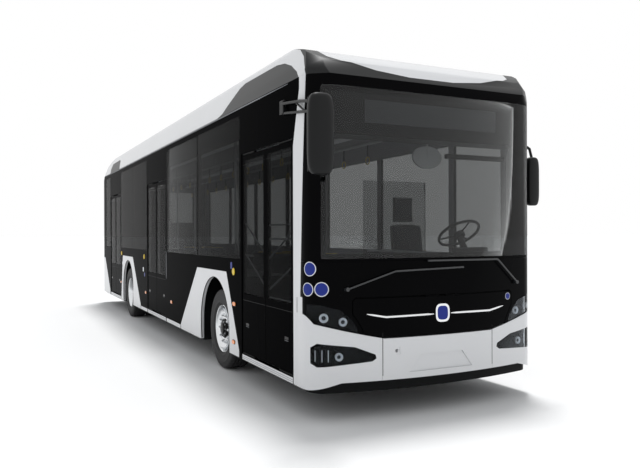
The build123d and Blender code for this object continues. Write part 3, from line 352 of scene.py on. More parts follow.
def loose_parts(bm):
    # The separate solids of a mesh, each as its faces and the two corners of its box
    todo = set(bm.faces)
    while todo:
        stack = [todo.pop()]
        part = []
        while stack:
            face = stack.pop()
            part.append(face)
            for edge in face.edges:
                for other in edge.link_faces:
                    if other in todo:
                        todo.discard(other)
                        stack.append(other)
        spots = [v.co for f in part for v in f.verts]
        low = Vector([min(c[i] for c in spots) for i in range(3)])
        high = Vector([max(c[i] for c in spots) for i in range(3)])
        yield part, low, high


def part_boxes(mesh):
    bm = bmesh.new()
    bm.from_mesh(mesh)
    bmesh.ops.remove_doubles(bm, verts=bm.verts, dist=WELD)
    boxes = [(low, high) for _, low, high in loose_parts(bm)]
    bm.free()
    return boxes


def face_finish(obj, pick, mat):
    # Gives the faces that pick(middle, normal) names another finish
    obj.data.materials.append(mat)
    slot = len(obj.data.materials) - 1
    for face in obj.data.polygons:
        if pick(face.center, face.normal):
            face.material_index = slot


def second_finish(obj, pick, mat):
    # Gives the loose parts that pick(low, high) names another finish
    obj.data.materials.append(mat)
    slot = len(obj.data.materials) - 1
    found = 0
    with edited(obj.data) as bm:
        for part, low, high in list(loose_parts(bm)):
            if pick(low, high):
                found += 1
                for face in part:
                    face.material_index = slot
    return found


# %% Panels, glass and trim from the CAD nodes
PANELS = [
    ("side_wall_right", BLACK_SIDE, 0.0015), ("side_wall_left", BLACK_SIDE, 0.0015),
    ("front_frame", BLACK, 0.0015), ("front_mask", BLACK, 0.003), ("front_flap", BLACK, 0.003),
    ("bumpers", WHITE, 0.005),
    ("white_panels", WHITE, 0.002), ("wheel_houses", PLASTIC, 0.0), ("roof_fairing", WHITE, 0.004),
    ("roof_inlays", BROW, 0.001), ("rear_wall", BLACK, 0.003), ("rear_lid", BLACK, 0.003),
    ("windscreen", SCREEN, 0.0), ("window_glass", GLASS, 0.0), ("roof_shell", LINING, 0.0),
    ("roof_housings", ROOF_BOX, 0.012), ("underframe", VINYL, 0.0), ("lamp_units", GLOSS, 0.0),
    ("wipers", WIPER_STEEL, 0.0), ("driver_cab", DASH, 0.004), ("handrails", STEEL, 0.0),
    ("power_cabinet", GREY, 0.006), ("sign_box", PLASTIC, 0.004), ("axles", IRON, 0.003),
    ("knuckle_left", IRON, 0.002), ("knuckle_right", IRON, 0.002),
]
# Limits that tell one part of a node from another
BROW_Z = 2.9
INNER_Y = 1.262
FLOOR_TOP_Z = 0.32
TWIN = 0.05
looks = {}
for node, mat, radius in PANELS:
    looks[node] = skin(node, mat, radius)
brows = second_finish(looks["front_frame"], lambda low, high: low.z > BROW_Z, BROW)
fronts = [high for _, high in part_boxes(looks["lamp_units"].data)]


def foremost(low, high):
    # Of a bowl and its lens, whose boxes share a corner to within TWIN, the lens is further out
    twins = [c for c in fronts if abs(c.y - high.y) < TWIN and abs(c.z - high.z) < TWIN]
    return all(high.x > c.x - 1e-6 for c in twins)


lenses = second_finish(looks["lamp_units"], foremost, LENS)
# What faces the inside is lining, and below the floor covering the underframe is coated steel
for side, end in SIDES:
    face_finish(looks["side_wall_" + end], lambda c, n: n.y * side < -0.5 and abs(c.y) < INNER_Y, LINING)
face_finish(looks["front_frame"], lambda c, n: n.x < -0.5 or (n.y * c.y < 0 and abs(n.y) > 0.5), LINING)
face_finish(looks["underframe"], lambda c, n: n.z < 0.7 or c.z < FLOOR_TOP_Z, BLACK_STEEL)

# The cab's partition, which ends behind PARTITION_X and is taller than the dashboard, is a
# solid panel below CLEAR_FROM and clear polycarbonate above
PARTITION_X = 3.95
CAB_Z = 2.0
CLEAR_FROM = 1.30
cab = looks["driver_cab"].data
cab.materials.append(SCREEN)
with edited(cab) as bm:
    for part, low, high in list(loose_parts(bm)):
        if high.x < PARTITION_X and high.z > CAB_Z:
            edges = {e for f in part for e in f.edges}
            verts = {v for f in part for v in f.verts}
            bmesh.ops.bisect_plane(bm, geom=[*part, *edges, *verts], plane_co=(0, 0, CLEAR_FROM),
                                   plane_no=(0, 0, 1), dist=1e-5)
    for face in bm.faces:
        middle = face.calc_center_median()
        if middle.x < PARTITION_X and middle.z > CLEAR_FROM + 0.001:
            face.material_index = 1
print("panels:", len(looks), "brows:", brows, "lenses:", lenses)

# %% [markdown]
# Thin pieces that lie on a curved panel, such as films and strips, are laid point by point:
# a ray from outside finds the panel, and the point comes to rest on it. The same rays place
# the few stickers that were measured as pixels of the photograph.


# %% Rays on the body
def surface(*nodes):
    verts, faces = [], []
    for node in nodes:
        mesh = NODES[node].data
        start = len(verts)
        verts += [v.co.copy() for v in mesh.vertices]
        faces += [[start + i for i in p.vertices] for p in mesh.polygons]
    return BVHTree.FromPolygons(verts, faces)


BODY = surface("front_mask", "front_flap", "front_frame", "bumpers", "white_panels", "windscreen",
               "side_wall_right", "side_wall_left", "window_glass", "rear_wall", "rear_lid",
               "roof_fairing", "roof_inlays", "roof_housings", "power_cabinet", "lamp_units")


REACH = 0.4


def outward(spot, way):
    # Where a ray along way meets the body near a spot, and the body's outward direction there
    spot, way = Vector(spot), Vector(way)
    hit, normal, _, _ = BODY.ray_cast(spot - way * REACH, way, 2 * REACH)
    if not hit:
        return spot, -way
    return hit, normal if normal.dot(way) < 0 else -normal


def laid_on(spot, way):
    return outward(spot, way)[0]


def seen_at(px, py):
    # Where the camera's ray through a pixel of the photograph meets the body
    way = view * FOCAL_PX + right * (px - IMAGE_W / 2) + up * (IMAGE_H / 2 - py)
    spot, normal, _, _ = BODY.ray_cast(CAM, way.normalized())
    return spot, normal


# %% Mesh helpers
# How far the back of a thin piece lies under the panel's face, and a tread notch's depth
FILM_SUNK = 0.0006
BAND_SUNK = 0.0008
NOTCH_DEPTH = 0.007


def piece(name, verts, faces, mat, body="coachwork", angle=35.0):
    mesh = bpy.data.meshes.new(name)
    mesh.from_pydata([tuple(v) for v in verts], [], faces)
    mesh.materials.append(mat)
    obj = in_scene(name, mesh)
    with edited(mesh) as bm:
        bmesh.ops.remove_doubles(bm, verts=bm.verts, dist=1e-6)
        bmesh.ops.recalc_face_normals(bm, faces=bm.faces)
    clean(obj, angle)
    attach(obj, body)
    return obj


def lofted(name, rows, mat, body="coachwork", angle=50.0, ring=False):
    # A skin through rows of points of one count: closed at both ends, or joined to a ring
    n, count = len(rows[0]), len(rows)
    faces = []
    for k in range(count if ring else count - 1):
        a, b = k * n, (k + 1) % count * n
        faces += [(a + i, a + (i + 1) % n, b + (i + 1) % n, b + i) for i in range(n)]
    if not ring:
        last = (count - 1) * n
        faces += [tuple(range(n)), tuple(last + i for i in reversed(range(n)))]
    return piece(name, [spot for row in rows for spot in row], faces, mat, body, angle)


def film(name, centre, way, outline, thick, mat, body="coachwork"):
    # A thin round or square film: rings of its outline, each point laid on the body
    rings = 4
    way = Vector(way).normalized()
    across = way.cross(Vector((0, 0, 1))).normalized()
    upward = across.cross(way)
    verts = []
    count = len(outline)
    middle = laid_on(centre, way)
    verts.append(middle - way * thick)
    for k in range(1, rings + 1):
        for a, b in outline:
            spot = laid_on(Vector(centre) + across * (a * k / rings) + upward * (b * k / rings), way)
            verts.append(spot - way * thick)
    rim = len(verts) - count
    for k in range(count):
        verts.append(verts[rim + k] + way * (thick + FILM_SUNK))
    verts.append(middle + way * FILM_SUNK)
    faces = []
    for i in range(count):
        j = (i + 1) % count
        faces.append((0, 1 + i, 1 + j))
        for k in range(rings - 1):
            a, b = 1 + k * count, 1 + (k + 1) * count
            faces.append((a + i, b + i, b + j, a + j))
        faces.append((rim + i, rim + count + i, rim + count + j, rim + j))
        faces.append((rim + count + i, len(verts) - 1, rim + count + j))
    return piece(name, verts, faces, mat, body, 50.0)


def disc(radius, count=36):
    return [(radius * math.cos(2 * math.pi * k / count), radius * math.sin(2 * math.pi * k / count))
            for k in range(count)]


def pull(value, power):
    # A power that keeps the sign
    return math.copysign(abs(value) ** power, value)


def soft_square(half_a, half_b, power=4.0):
    # A square with rounded corners
    return [(half_a * pull(a, 2 / power), half_b * pull(b, 2 / power)) for a, b in disc(1.0, 40)]


def band(name, points, way, width, thick, mat, body="coachwork", step=0.02):
    # A crowned strip along a run of points, laid on the body
    way = Vector(way).normalized()
    spots = []
    for a, b in zip(points, points[1:]):
        a, b = Vector(a), Vector(b)
        n = max(1, int((b - a).length / step))
        spots += [a.lerp(b, k / n) for k in range(n)]
    spots.append(Vector(points[-1]))
    profile = [(-0.5, 0.15), (-0.38, 0.8), (0.0, 1.0), (0.38, 0.8), (0.5, 0.15)]
    rows = []
    last = len(spots) - 1
    for k, spot in enumerate(spots):
        ahead = spots[min(k + 1, last)] - spots[max(k - 1, 0)]
        side = ahead.cross(way).normalized()
        taper = min(1.0, 0.35 + 0.65 * min(k, last - k) / 3.0)
        laid = [laid_on(spot + side * (width * a * taper), way) for a, _ in profile]
        rows.append([p - way * (thick * h) for p, (_, h) in zip(laid, profile)]
                    + [laid[-1] + way * BAND_SUNK, laid[0] + way * BAND_SUNK])
    return lofted(name, rows, mat, body)


def block(name, low, high, mat, edge, body="coachwork"):
    # A panel or housing with softened edges
    x0, y0, z0 = low
    x1, y1, z1 = high
    verts = [(x, y, z) for x in (x0, x1) for y in (y0, y1) for z in (z0, z1)]
    faces = [(0, 1, 3, 2), (4, 6, 7, 5), (0, 4, 5, 1), (2, 3, 7, 6), (0, 2, 6, 4), (1, 5, 7, 3)]
    obj = piece(name, verts, faces, mat, body)
    return rounded(obj, edge) if edge else obj


def bar(name, points, radius, mat, body="coachwork", ring=False):
    # A round bar along a run of points
    curve = bpy.data.curves.new(name, "CURVE")
    curve.dimensions = "3D"
    curve.bevel_depth = radius
    curve.bevel_resolution = 3
    curve.use_fill_caps = True
    line = curve.splines.new("POLY")
    line.points.add(len(points) - 1)
    for spot, place in zip(line.points, points):
        spot.co = (*place, 1)
    line.use_cyclic_u = ring
    path = in_scene(name + "_path", curve)
    graph = bpy.context.evaluated_depsgraph_get()
    graph.update()
    mesh = bpy.data.meshes.new_from_object(path.evaluated_get(graph), depsgraph=graph)
    bpy.data.objects.remove(path)
    obj = in_scene(name, mesh)
    one_finish(obj, mat)
    clean(obj, 50.0)
    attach(obj, body)
    return obj


def turned(name, outline, place, steps, mat, body="coachwork", angle=38.0, notches=()):
    # A closed outline of (radius, height) pairs turned about its Z axis, then put in its place.
    # The points of the outline that notches names are set in at every fourth step
    rows = []
    for k in range(steps):
        a = 2 * math.pi * k / steps
        row = []
        for i, (r, h) in enumerate(outline):
            if k % 4 == 0 and i in notches:
                r -= NOTCH_DEPTH
            row.append(place @ Vector((r * math.cos(a), r * math.sin(a), h)))
        rows.append(row)
    return lofted(name, rows, mat, body, angle, ring=True)


print("helpers ready")

# %% [markdown]
# What repeats is grown by Geometry Nodes. A ring tree sets hexagon nuts with washers and stud
# ends on a circle: the mesh circle gives the points, each nut is an instance on a point, and
# the instances are made real. A row tree does the same with slats along a line.


# %% Geometry Nodes trees
def new_tree(name, **sizes):
    # An empty tree with its sizes as inputs, and the sockets at both of its ends
    tree = bpy.data.node_groups.new(name, "GeometryNodeTree")
    for label, kind in sizes.items():
        tree.interface.new_socket(label.replace("_", " "), in_out="INPUT", socket_type="NodeSocket" + kind)
    tree.interface.new_socket("Geometry", in_out="OUTPUT", socket_type="NodeSocketGeometry")
    given = tree.nodes.new("NodeGroupInput")
    return tree, given.outputs, tree.nodes.new("NodeGroupOutput")


def times(tree, source, factor):
    node = add(tree, "ShaderNodeMath", [(0, source)], operation="MULTIPLY")
    node.inputs[1].default_value = factor
    return node.outputs[0]


def spread(tree, points, instance, mat, result):
    # Sets an instance on each point, makes them real and gives them their finish
    placed = add(tree, "GeometryNodeInstanceOnPoints",
                 [("Points", points.outputs["Mesh"]), ("Instance", instance.outputs[0])])
    real = add(tree, "GeometryNodeRealizeInstances", [("Geometry", placed.outputs[0])])
    painted = add(tree, "GeometryNodeSetMaterial", [("Geometry", real.outputs[0]), ("Material", mat)])
    tree.links.new(painted.outputs[0], result.inputs[0])
    return tree


def nut_ring_tree():
    tree, size, result = new_tree("nut_ring", Count="Int", Ring_radius="Float", Nut_radius="Float",
                                  Nut_height="Float", Finish="Material")
    circle = add(tree, "GeometryNodeMeshCircle",
                 [("Vertices", size["Count"]), ("Radius", size["Ring radius"])])
    parts = add(tree, "GeometryNodeJoinGeometry")
    # Nut, washer and stud end: sides, and shares of the nut's radius and height
    for sides, wide, tall in ((6, 1.0, 1.0), (20, 1.35, 0.25), (12, 0.5, 1.5)):
        radius = times(tree, size["Nut radius"], wide)
        height = times(tree, size["Nut height"], tall)
        lift = add(tree, "ShaderNodeCombineXYZ", [("Z", times(tree, height, 0.5))])
        body = add(tree, "GeometryNodeMeshCylinder", [("Radius", radius), ("Depth", height)], Vertices=sides)
        raised = add(tree, "GeometryNodeTransform",
                     [("Geometry", body.outputs["Mesh"]), ("Translation", lift.outputs[0])])
        tree.links.new(raised.outputs[0], parts.inputs[0])
    return spread(tree, circle, parts, size["Finish"], result)


def slat_row_tree():
    tree, size, result = new_tree("slat_row", Count="Int", Pitch="Vector", Slat="Vector", Turn="Vector",
                                  Finish="Material")
    line = add(tree, "GeometryNodeMeshLine", [("Count", size["Count"]), ("Offset", size["Pitch"])])
    slat = add(tree, "GeometryNodeMeshCube", [("Size", size["Slat"])])
    tilted = add(tree, "GeometryNodeTransform",
                 [("Geometry", slat.outputs["Mesh"]), ("Rotation", size["Turn"])])
    return spread(tree, line, tilted, size["Finish"], result)


NUT_RING = nut_ring_tree()
SLAT_ROW = slat_row_tree()


def grown(name, tree, sizes, place, body="coachwork", edge=0.0):
    # Runs a tree, keeps its result as plain mesh and puts it in its place
    obj = in_scene(name, bpy.data.meshes.new(name))
    step = obj.modifiers.new("grown", "NODES")
    step.node_group = tree
    for item in tree.interface.items_tree:
        if item.item_type == "SOCKET" and item.in_out == "INPUT":
            step[item.identifier] = sizes[item.name]
    baked(obj)
    obj.data.transform(place)
    with edited(obj.data) as bm:
        bmesh.ops.recalc_face_normals(bm, faces=bm.faces)
    if edge:
        rounded(obj, edge)
    clean(obj, 35.0)
    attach(obj, body)
    return obj


def nuts(name, ring, radius, tall, mat, place, body):
    sizes = {"Count": 10, "Ring radius": ring, "Nut radius": radius, "Nut height": tall, "Finish": mat}
    return grown(name, NUT_RING, sizes, place, body)


def slats(name, count, pitch, slat, mat, at, turn=(0.0, 0.0, 0.0), body="coachwork", edge=0.0):
    sizes = {"Count": count, "Pitch": pitch, "Slat": slat, "Turn": turn, "Finish": mat}
    return grown(name, SLAT_ROW, sizes, moved(*at), body, edge)


print("trees:", [tree.name for tree in bpy.data.node_groups])

# %% [markdown]
# Wheels. A 275/70 R22.5 tyre on a polished forged rim. Its outline, turned about the axle, has
# a bead, a soft sidewall with two mould rings and a tread of five ribs. The shoulder ribs are
# notched at every fourth step of the turn, as a city bus tyre's are.

# %% Tyres
TYRE_HALF = 0.1375
TYRE_R = 0.487
GROOVE_R = 0.474
RIM_R = 0.292
TWIN_PITCH = 0.313
GROOVES = [-0.066, -0.022, 0.022, 0.066]
TYRE_STEPS = 192
SIDEWALL = [(RIM_R + 0.001, -0.107), (RIM_R + 0.012, -0.121), (RIM_R + 0.030, -0.129),
            (RIM_R + 0.034, -0.1325), (RIM_R + 0.040, -0.1330), (RIM_R + 0.043, -0.1315), (0.362, -0.1368),
            (0.385, -0.1372), (0.402, -0.1366), (0.405, -0.1374), (0.411, -0.1374), (0.414, -0.1356),
            (0.440, -0.1318), (0.460, -0.1278), (0.474, -0.1205), (0.482, -0.111)]
tyre_outline = list(SIDEWALL)
for y in GROOVES:
    tyre_outline += [(TYRE_R, y - 0.0055), (GROOVE_R, y - 0.0035), (GROOVE_R, y + 0.0035),
                     (TYRE_R, y + 0.0055)]
tyre_outline += [(r, -y) for r, y in reversed(SIDEWALL)]
tyre_outline += [(RIM_R + 0.001, 0.08), (RIM_R + 0.03, 0.07), (RIM_R + 0.03, -0.07), (RIM_R + 0.001, -0.08)]
SHOULDERS = [i for i, (r, y) in enumerate(tyre_outline) if r > 0.455 and 0.07 < abs(y) < 0.13]


def across_axle(x, y, z, side):
    # Turns a piece's Z axis to point out of the bus on that side
    return moved(x, y, z) @ spun(-side * QUARTER, "X")


wheel_spots = []
for node in ("front_tyre_left", "front_tyre_right", "rear_tyre_left", "rear_tyre_right"):
    low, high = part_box(node)
    side = 1 if high.y > 0 else -1
    x = (low.x + high.x) / 2
    y = side * (max(abs(low.y), abs(high.y)) - TYRE_HALF)
    rows = [y] if "front" in node else [y, y - side * TWIN_PITCH]
    body = NODES[node]["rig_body"]
    for k, at in enumerate(rows):
        tyre = turned(node + "_look" + str(k), tyre_outline, across_axle(x, at, TYRE_R, side), TYRE_STEPS,
                      RUBBER, body, notches=SHOULDERS)
        if k == 0:
            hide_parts(node)
    wheel_spots.append((node.replace("tyre", "rim"), x, y, side))
print("wheels:", len(wheel_spots), "tread steps:", TYRE_STEPS)

# %% [markdown]
# Rims and hubs. The front rim is dished outwards, the rear outer one inwards, because the same
# rim is turned round for the twin wheel. Ten nuts hold it on a 335 mm circle. The dark hub
# stands in the middle, with its own ring of bolts and a cap.

# %% Rims, hubs and nuts
FRONT_DISH, REAR_DISH = 0.085, -0.100
STUD_R = 0.1675


def rim_outline(dish):
    r = RIM_R - 0.0003
    half = TYRE_HALF
    front = dish > 0
    return [(r, half * 0.80), (r - 0.006, half * 0.83), (r - 0.014, half * 0.80), (r - 0.024, half * 0.66),
            (r - 0.036, half * 0.42), (r - 0.045, dish + 0.036 if front else 0.02), (r - 0.050, dish + 0.024),
            (r - 0.064, dish + 0.009), (r - 0.085, dish + 0.002), (0.190, dish), (0.110, dish),
            (0.110, dish - 0.012), (0.195, dish - 0.012), (r - 0.068, dish - 0.004),
            (r - 0.050, dish + (0.004 if front else 0.012)), (r - 0.040, 0.0), (r - 0.026, half * 0.2),
            (r - 0.026, -half * 0.5), (r - 0.010, -half * 0.8), (r, -half * 0.8)]


def hub_outline(r, tall, foot):
    return [(foot, -0.010), (foot, 0.006), (r + 0.004, 0.012), (r, 0.020), (r, tall - 0.022),
            (r - 0.014, tall - 0.010), (r - 0.030, tall - 0.006), (0.070, tall - 0.006), (0.066, tall),
            (0.058, tall + 0.010), (0.040, tall + 0.014), (0.001, tall + 0.015), (0.001, -0.010)]


for node, x, y, side in wheel_spots:
    body = NODES[node]["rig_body"]
    front = "front" in node
    dish = FRONT_DISH if front else REAR_DISH
    place = across_axle(x, y, TYRE_R, side)
    rim = turned(node + "_look", rim_outline(dish), place, 96, ALLOY, body, 40.0)
    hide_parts(node)
    seat = place @ moved(0, 0, dish)
    tall = 0.030 if front else 0.118
    turned(node + "_hub", hub_outline(0.106, tall, 0.120), seat, 64, GLOSS, body)
    nuts(node + "_nuts", STUD_R, 0.0175, 0.020, ALLOY if front else NUT_STEEL, seat, body)
    cap = place @ moved(0, 0, dish + tall - 0.010)
    nuts(node + "_hub_bolts", 0.088, 0.008, 0.008, NUT_STEEL, cap, body)
    if not front:
        inner = across_axle(x, y - side * TWIN_PITCH, TYRE_R, -side)
        turned(node + "_inner", rim_outline(REAR_DISH), inner, 96, ALLOY, body, 40.0)
        turned(node + "_drum", [(0.001, 0.0), (0.150, 0.0), (0.150, 0.112), (0.001, 0.112)],
               across_axle(x, y - side * (TWIN_PITCH - 0.1), TYRE_R, side), 48, IRON, body)
print("rims and hubs:", len(wheel_spots))

# %% [markdown]
# Doors. Each leaf is a black frame with a bonded pane above and a closed lower third. The pane
# is the CAD node's second solid, so the loose part that is only 8 mm thick becomes glass. Two
# slanted grab rails stand behind each pane and three level ones behind the front leaf's. Rubber
# covers the meeting edges, and a small recessed handle sits low on each leaf. All of it rides
# on the leaf and folds away with it.

# %% Door leaves
RAIL_R = 0.009
# Slanted rails as heights at the rear and at the front end of the pane
SLANTS = {"rear": [(1.76, 1.45), (1.43, 1.12)], "front": [(1.41, 1.68), (1.10, 1.35)]}
CROSS_BARS = {"rear": [], "front": [1.74, 1.60, 1.02]}
# The pane's own thickness, the most that a loose part may have to count as a pane, and the
# width of the frame beside it
PANE, PANE_LIMIT, FRAME_W = 0.008, 0.012, 0.058
SEAM_HEIGHTS = (0.93, 2.40)
SEAL_W = 0.0035
PULL_Z = 0.66
panes = 0
leaves = [node for node in sorted(NODES) if "door_leaf" in node]
for node in leaves:
    body = NODES[node]["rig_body"]
    leaf = skin(node, BLACK_SIDE, 0.003)
    panes += second_finish(leaf, lambda low, high: high.y - low.y < PANE_LIMIT, GLASS)
    low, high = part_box(node)
    end = node.split("_")[-1]
    rail_y = low.y + PANE + RAIL_R + 0.004
    x0, x1 = low.x + FRAME_W, high.x - FRAME_W
    for k, (z_rear, z_front) in enumerate(SLANTS[end]):
        bar(node + "_rail" + str(k), [(x0, rail_y, z_rear), (x1, rail_y, z_front)], RAIL_R, STEEL, body)
    for k, z in enumerate(CROSS_BARS[end]):
        bar(node + "_bar" + str(k), [(x0, rail_y, z), (x1, rail_y, z)], RAIL_R, STEEL, body)
    x0, x1 = (high.x, high.x + SEAL_W) if end == "rear" else (low.x - SEAL_W, low.x)
    block(node + "_edge_seal", (x0, low.y + 0.004, low.z + 0.01), (x1, high.y - 0.004, high.z - 0.01),
          SEAL, 0.0012, body)
    for k, z in enumerate(SEAM_HEIGHTS):
        block(node + "_band" + str(k), (low.x + 0.012, low.y - 0.0006, z),
              (high.x - 0.012, low.y + 0.001, z + 0.004), SEAL, 0.0, body)
    centre = low.x + 0.16 if end == "rear" else high.x - 0.16
    block(node + "_pull", (centre - 0.045, low.y - 0.0025, PULL_Z),
          (centre + 0.045, low.y + 0.001, PULL_Z + 0.03), GLOSS, 0.001, body)
    bar(node + "_pull_lip", [(centre + x, low.y - 0.002, PULL_Z - 0.008) for x in (-0.04, 0.04)],
        0.0025, GREY, body)
for node in sorted(NODES):
    if "door_arm" in node:
        skin(node, BLACK_STEEL, 0.001)
print("leaves:", len(leaves), "panes:", panes)

# %% [markdown]
# Sills. Under each door the white skirt strip carries two pressed grooves. A row of two slim
# dark slats per opening, grown by the row tree, stands for their shadow lines.

# %% Sill groove shade lines
DOOR_SPANS = {}
for node in leaves:
    door = node.split("_")[0]
    low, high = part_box(node)
    span = DOOR_SPANS.get(door, (low.x, high.x))
    DOOR_SPANS[door] = (min(span[0], low.x), max(span[1], high.x))
SILL_Y, SILL_Z = -1.2752, 0.300
# Each opening gets two flat grey slats: painted shadow lines of the pressed grooves
for door, (x0, x1) in DOOR_SPANS.items():
    slats(door + "_sill_groove_shade", 2, (0.0, 0.0, 0.018), (x1 - x0 + 0.02, 0.0016, 0.0035), GREY,
          ((x0 + x1) / 2, SILL_Y, SILL_Z))
print("doors:", DOOR_SPANS)

# %% [markdown]
# Front mask. A chromed strip runs out from a blank badge on both sides and kinks up near its
# ends. The badge is a rounded plate with a chromed rim and a plain blue field. Round blue films
# with a white rim are blank too: they only mark where a bus has its notices.

# %% Chrome strip, badge and films
BACKWARD = (-1.0, 0.0, 0.0)
FRONT_X = 5.9
SIDE_Y = 1.276
FLAP_BODY = NODES["front_flap"]["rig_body"]
for side, end in SIDES:
    strip = [(FRONT_X, side * y, z) for y, z in ((0.095, 0.912), (0.586, 0.906), (0.772, 0.940))]
    band("chrome_strip_" + end, strip, BACKWARD, 0.020, 0.006, CHROME, FLAP_BODY)
BADGE = (FRONT_X, 0.0, 0.919)
film("badge_rim", BADGE, BACKWARD, soft_square(0.078, 0.084, 3.2), 0.010, CHROME, FLAP_BODY)
film("badge_field", BADGE, BACKWARD, soft_square(0.058, 0.064, 3.2), 0.0115, BLUE, FLAP_BODY)
# Rubber joints between the bumper's middle and its ends, and white covers that close the corner
# between the pillar strip and the bumper
JOINT_Y, BESIDE_Y = 0.6195, 0.605
for side, end in SIDES:
    joint = []
    for k in range(15):
        z = 0.385 + 0.0275 * k
        joint.append((laid_on((FRONT_X, side * BESIDE_Y, z), BACKWARD).x - 0.0028, side * JOINT_Y, z))
    bar("bumper_joint_" + end, joint, 0.0034, SEAL)
    film("corner_cover_" + end, (5.505, side * SIDE_Y, 1.012), (0.0, -float(side), 0.0),
         soft_square(0.052, 0.080, 16.0), 0.0025, WHITE)
# Films by pixel of the photograph: name, across, down, radius in metres
FRONT_FILMS = [("film_a", 309.5, 269.0, 0.064), ("film_b", 307.5, 289.5, 0.060),
               ("film_c", 321.5, 289.5, 0.064), ("film_d", 507.5, 296.0, 0.034)]
for name, px, py, radius in FRONT_FILMS:
    spot, normal = seen_at(px, py)
    film(name + "_rim", spot, -normal, disc(radius), 0.0010, WHITE_FILM)
    film(name, spot, -normal, disc(radius * 0.88), 0.0016, BLUE)
print("front films:", len(FRONT_FILMS))

# %% [markdown]
# Lamps. Behind each clear lens sit round projector units: an aluminised ring and a domed dark
# lens. The ring's finish has a faint painted glow that stands for its shine. Three upright slats,
# bright from the same painted glow, stand beside each fog lamp. Each unit looks the way the lens
# ahead of it faces, and the slats come from the row tree.

# %% Lamp optics
HEAD_PODS = [(1.155, 0.915, 0.040), (0.985, 0.877, 0.038)]
FOG_POD = (1.021, 0.572, 0.036)


def projector(name, y, z, r):
    spot, normal = outward((FRONT_X, y, z), BACKWARD)
    place = (moved(spot.x, y, z) @ spun(math.atan2(normal.y, normal.x), "Z") @ spun(QUARTER, "Y")
             @ moved(0, 0, -0.0095))
    # The ring's finish carries the reflector's faint painted glow
    turned(name + "_ring", [(r, -0.014), (r, 0.002), (r - 0.002, 0.0045), (r - 0.006, 0.0035),
                            (r * 0.50, -0.005), (r * 0.48, -0.014)], place, 40, REFLECTOR_PAINTED_GLOW)
    dome = [(0.0005, 0.001), (r * 0.20, 0.0), (r * 0.34, -0.002), (r * 0.46, -0.006), (r * 0.47, -0.013),
            (0.0005, -0.013)]
    turned(name + "_dome", dome, place, 40, LAMP_GLASS)


SLAT_Z = 0.585
for side, end in SIDES:
    for k, (y, z, radius) in enumerate(HEAD_PODS):
        projector("head_" + end + str(k), side * y, z, radius)
    projector("fog_" + end, side * FOG_POD[0], FOG_POD[1], FOG_POD[2])
    for k, y in enumerate((1.115, 1.165, 1.212)):
        # Towards the corner the lens slopes, so a slat stands deeper behind it there
        spot, normal = outward((FRONT_X, side * y, SLAT_Z), BACKWARD)
        slope = min(1.5, abs(normal.y / normal.x))
        depth = 0.0068 * math.sqrt(1 + slope * slope) + 0.0045 * slope
        # The slats share the reflector's painted glow
        slats("fog_slat_" + end + str(k), 1, (0.0, 0.0, 0.0), (0.004, 0.009, 0.105 - 0.004 * k), REFLECTOR_PAINTED_GLOW,
              (spot.x - depth, side * y, SLAT_Z), edge=0.001)
print("projectors: 6, slats: 6")

# %% [markdown]
# Side fittings. Amber markers with a moulded lens, round yellow door buttons with a raised rim,
# small blank films and a pale upright strip. They lie where the photograph shows them, and the
# far side, which it doesn't show, gets its markers by symmetry.

# %% Markers, buttons and films on the sides
MARKERS = [(3.717, 0.861), (0.785, 0.618), (3.689, 0.427), (-3.597, 0.647), (-1.10, 0.618)]
BUTTONS = [(3.696, 1.226), (-1.237, 1.250), (-3.547, 1.258)]
for side, end in reversed(SIDES):
    inward = (0.0, -float(side), 0.0)
    for k, (x, z) in enumerate(MARKERS):
        at = (x, side * SIDE_Y, z)
        film("marker_base_" + end + str(k), at, inward, soft_square(0.050, 0.026), 0.003, GLOSS)
        film("marker_" + end + str(k), at, inward, soft_square(0.044, 0.021, 3.0), 0.010, AMBER)
BUTTON_RIM = [(0.042, 0.0), (0.042, 0.005), (0.038, 0.008), (0.032, 0.006), (0.032, 0.0)]
BUTTON_FACE = [(0.0005, 0.0), (0.031, 0.0), (0.030, 0.006), (0.020, 0.0075), (0.0005, 0.008)]
for k, (x, z) in enumerate(BUTTONS):
    place = across_axle(x, -SIDE_Y, z, -1)
    turned("button_rim" + str(k), BUTTON_RIM, place, 40, YELLOW)
    turned("button_face" + str(k), BUTTON_FACE, place, 40, YELLOW)
# Blank films on the right side: middle along the bus, height, half length, half height, finish
SIDE_FILMS = [(3.610, 1.29, 0.030, 0.040, BLUE), (-1.33, 1.02, 0.040, 0.040, WHITE_FILM),
              (-1.22, 0.93, 0.035, 0.035, BLUE), (-3.45, 1.05, 0.035, 0.035, WHITE_FILM)]
for k, (x, z, half_x, half_z, mat) in enumerate(SIDE_FILMS):
    film("side_film" + str(k), (x, -SIDE_Y, z), (0.0, 1.0, 0.0), soft_square(half_x, half_z), 0.001, mat)
band("pale_strip", [(0.441, -SIDE_Y, 0.95), (0.441, -SIDE_Y, 1.38)], (0.0, 1.0, 0.0), 0.026, 0.003, GREY)
print("markers:", 2 * len(MARKERS), "buttons:", len(BUTTONS))

# %% [markdown]
# Wheel arches have a soft black lip, turned as an open arc along the edge of the panel, and the
# roof line has a drip rail: a slim grey bead above the windows.

# %% Arch lips and drip rails
# Arches as the middle along the bus, the radius and the middle's height
ARCHES = [(wheel_spots[0][1] - 0.053, 0.588, 0.540), (wheel_spots[2][1], 0.545, 0.590)]
SKIRT_Z = 0.30
DRIP_Z = 3.038
ARC_STEPS = 40
for side, end in reversed(SIDES):
    for k, (x, r, z) in enumerate(ARCHES):
        start = -math.asin((z - SKIRT_Z) / r)
        arc = []
        for i in range(ARC_STEPS + 1):
            a = start + (math.pi - 2 * start) * i / ARC_STEPS
            arc.append((x + (r - 0.004) * math.cos(a), side * 1.270, z + (r - 0.004) * math.sin(a)))
        bar("arch_lip_" + end + str(k), arc, 0.0045, SEAL)
    band("drip_rail_" + end, [(-5.4, side * SIDE_Y, DRIP_Z), (5.25, side * SIDE_Y, DRIP_Z)],
         (0.0, -float(side), 0.0), 0.014, 0.004, GREY, step=0.25)
print("arches:", len(ARCHES) * 2)

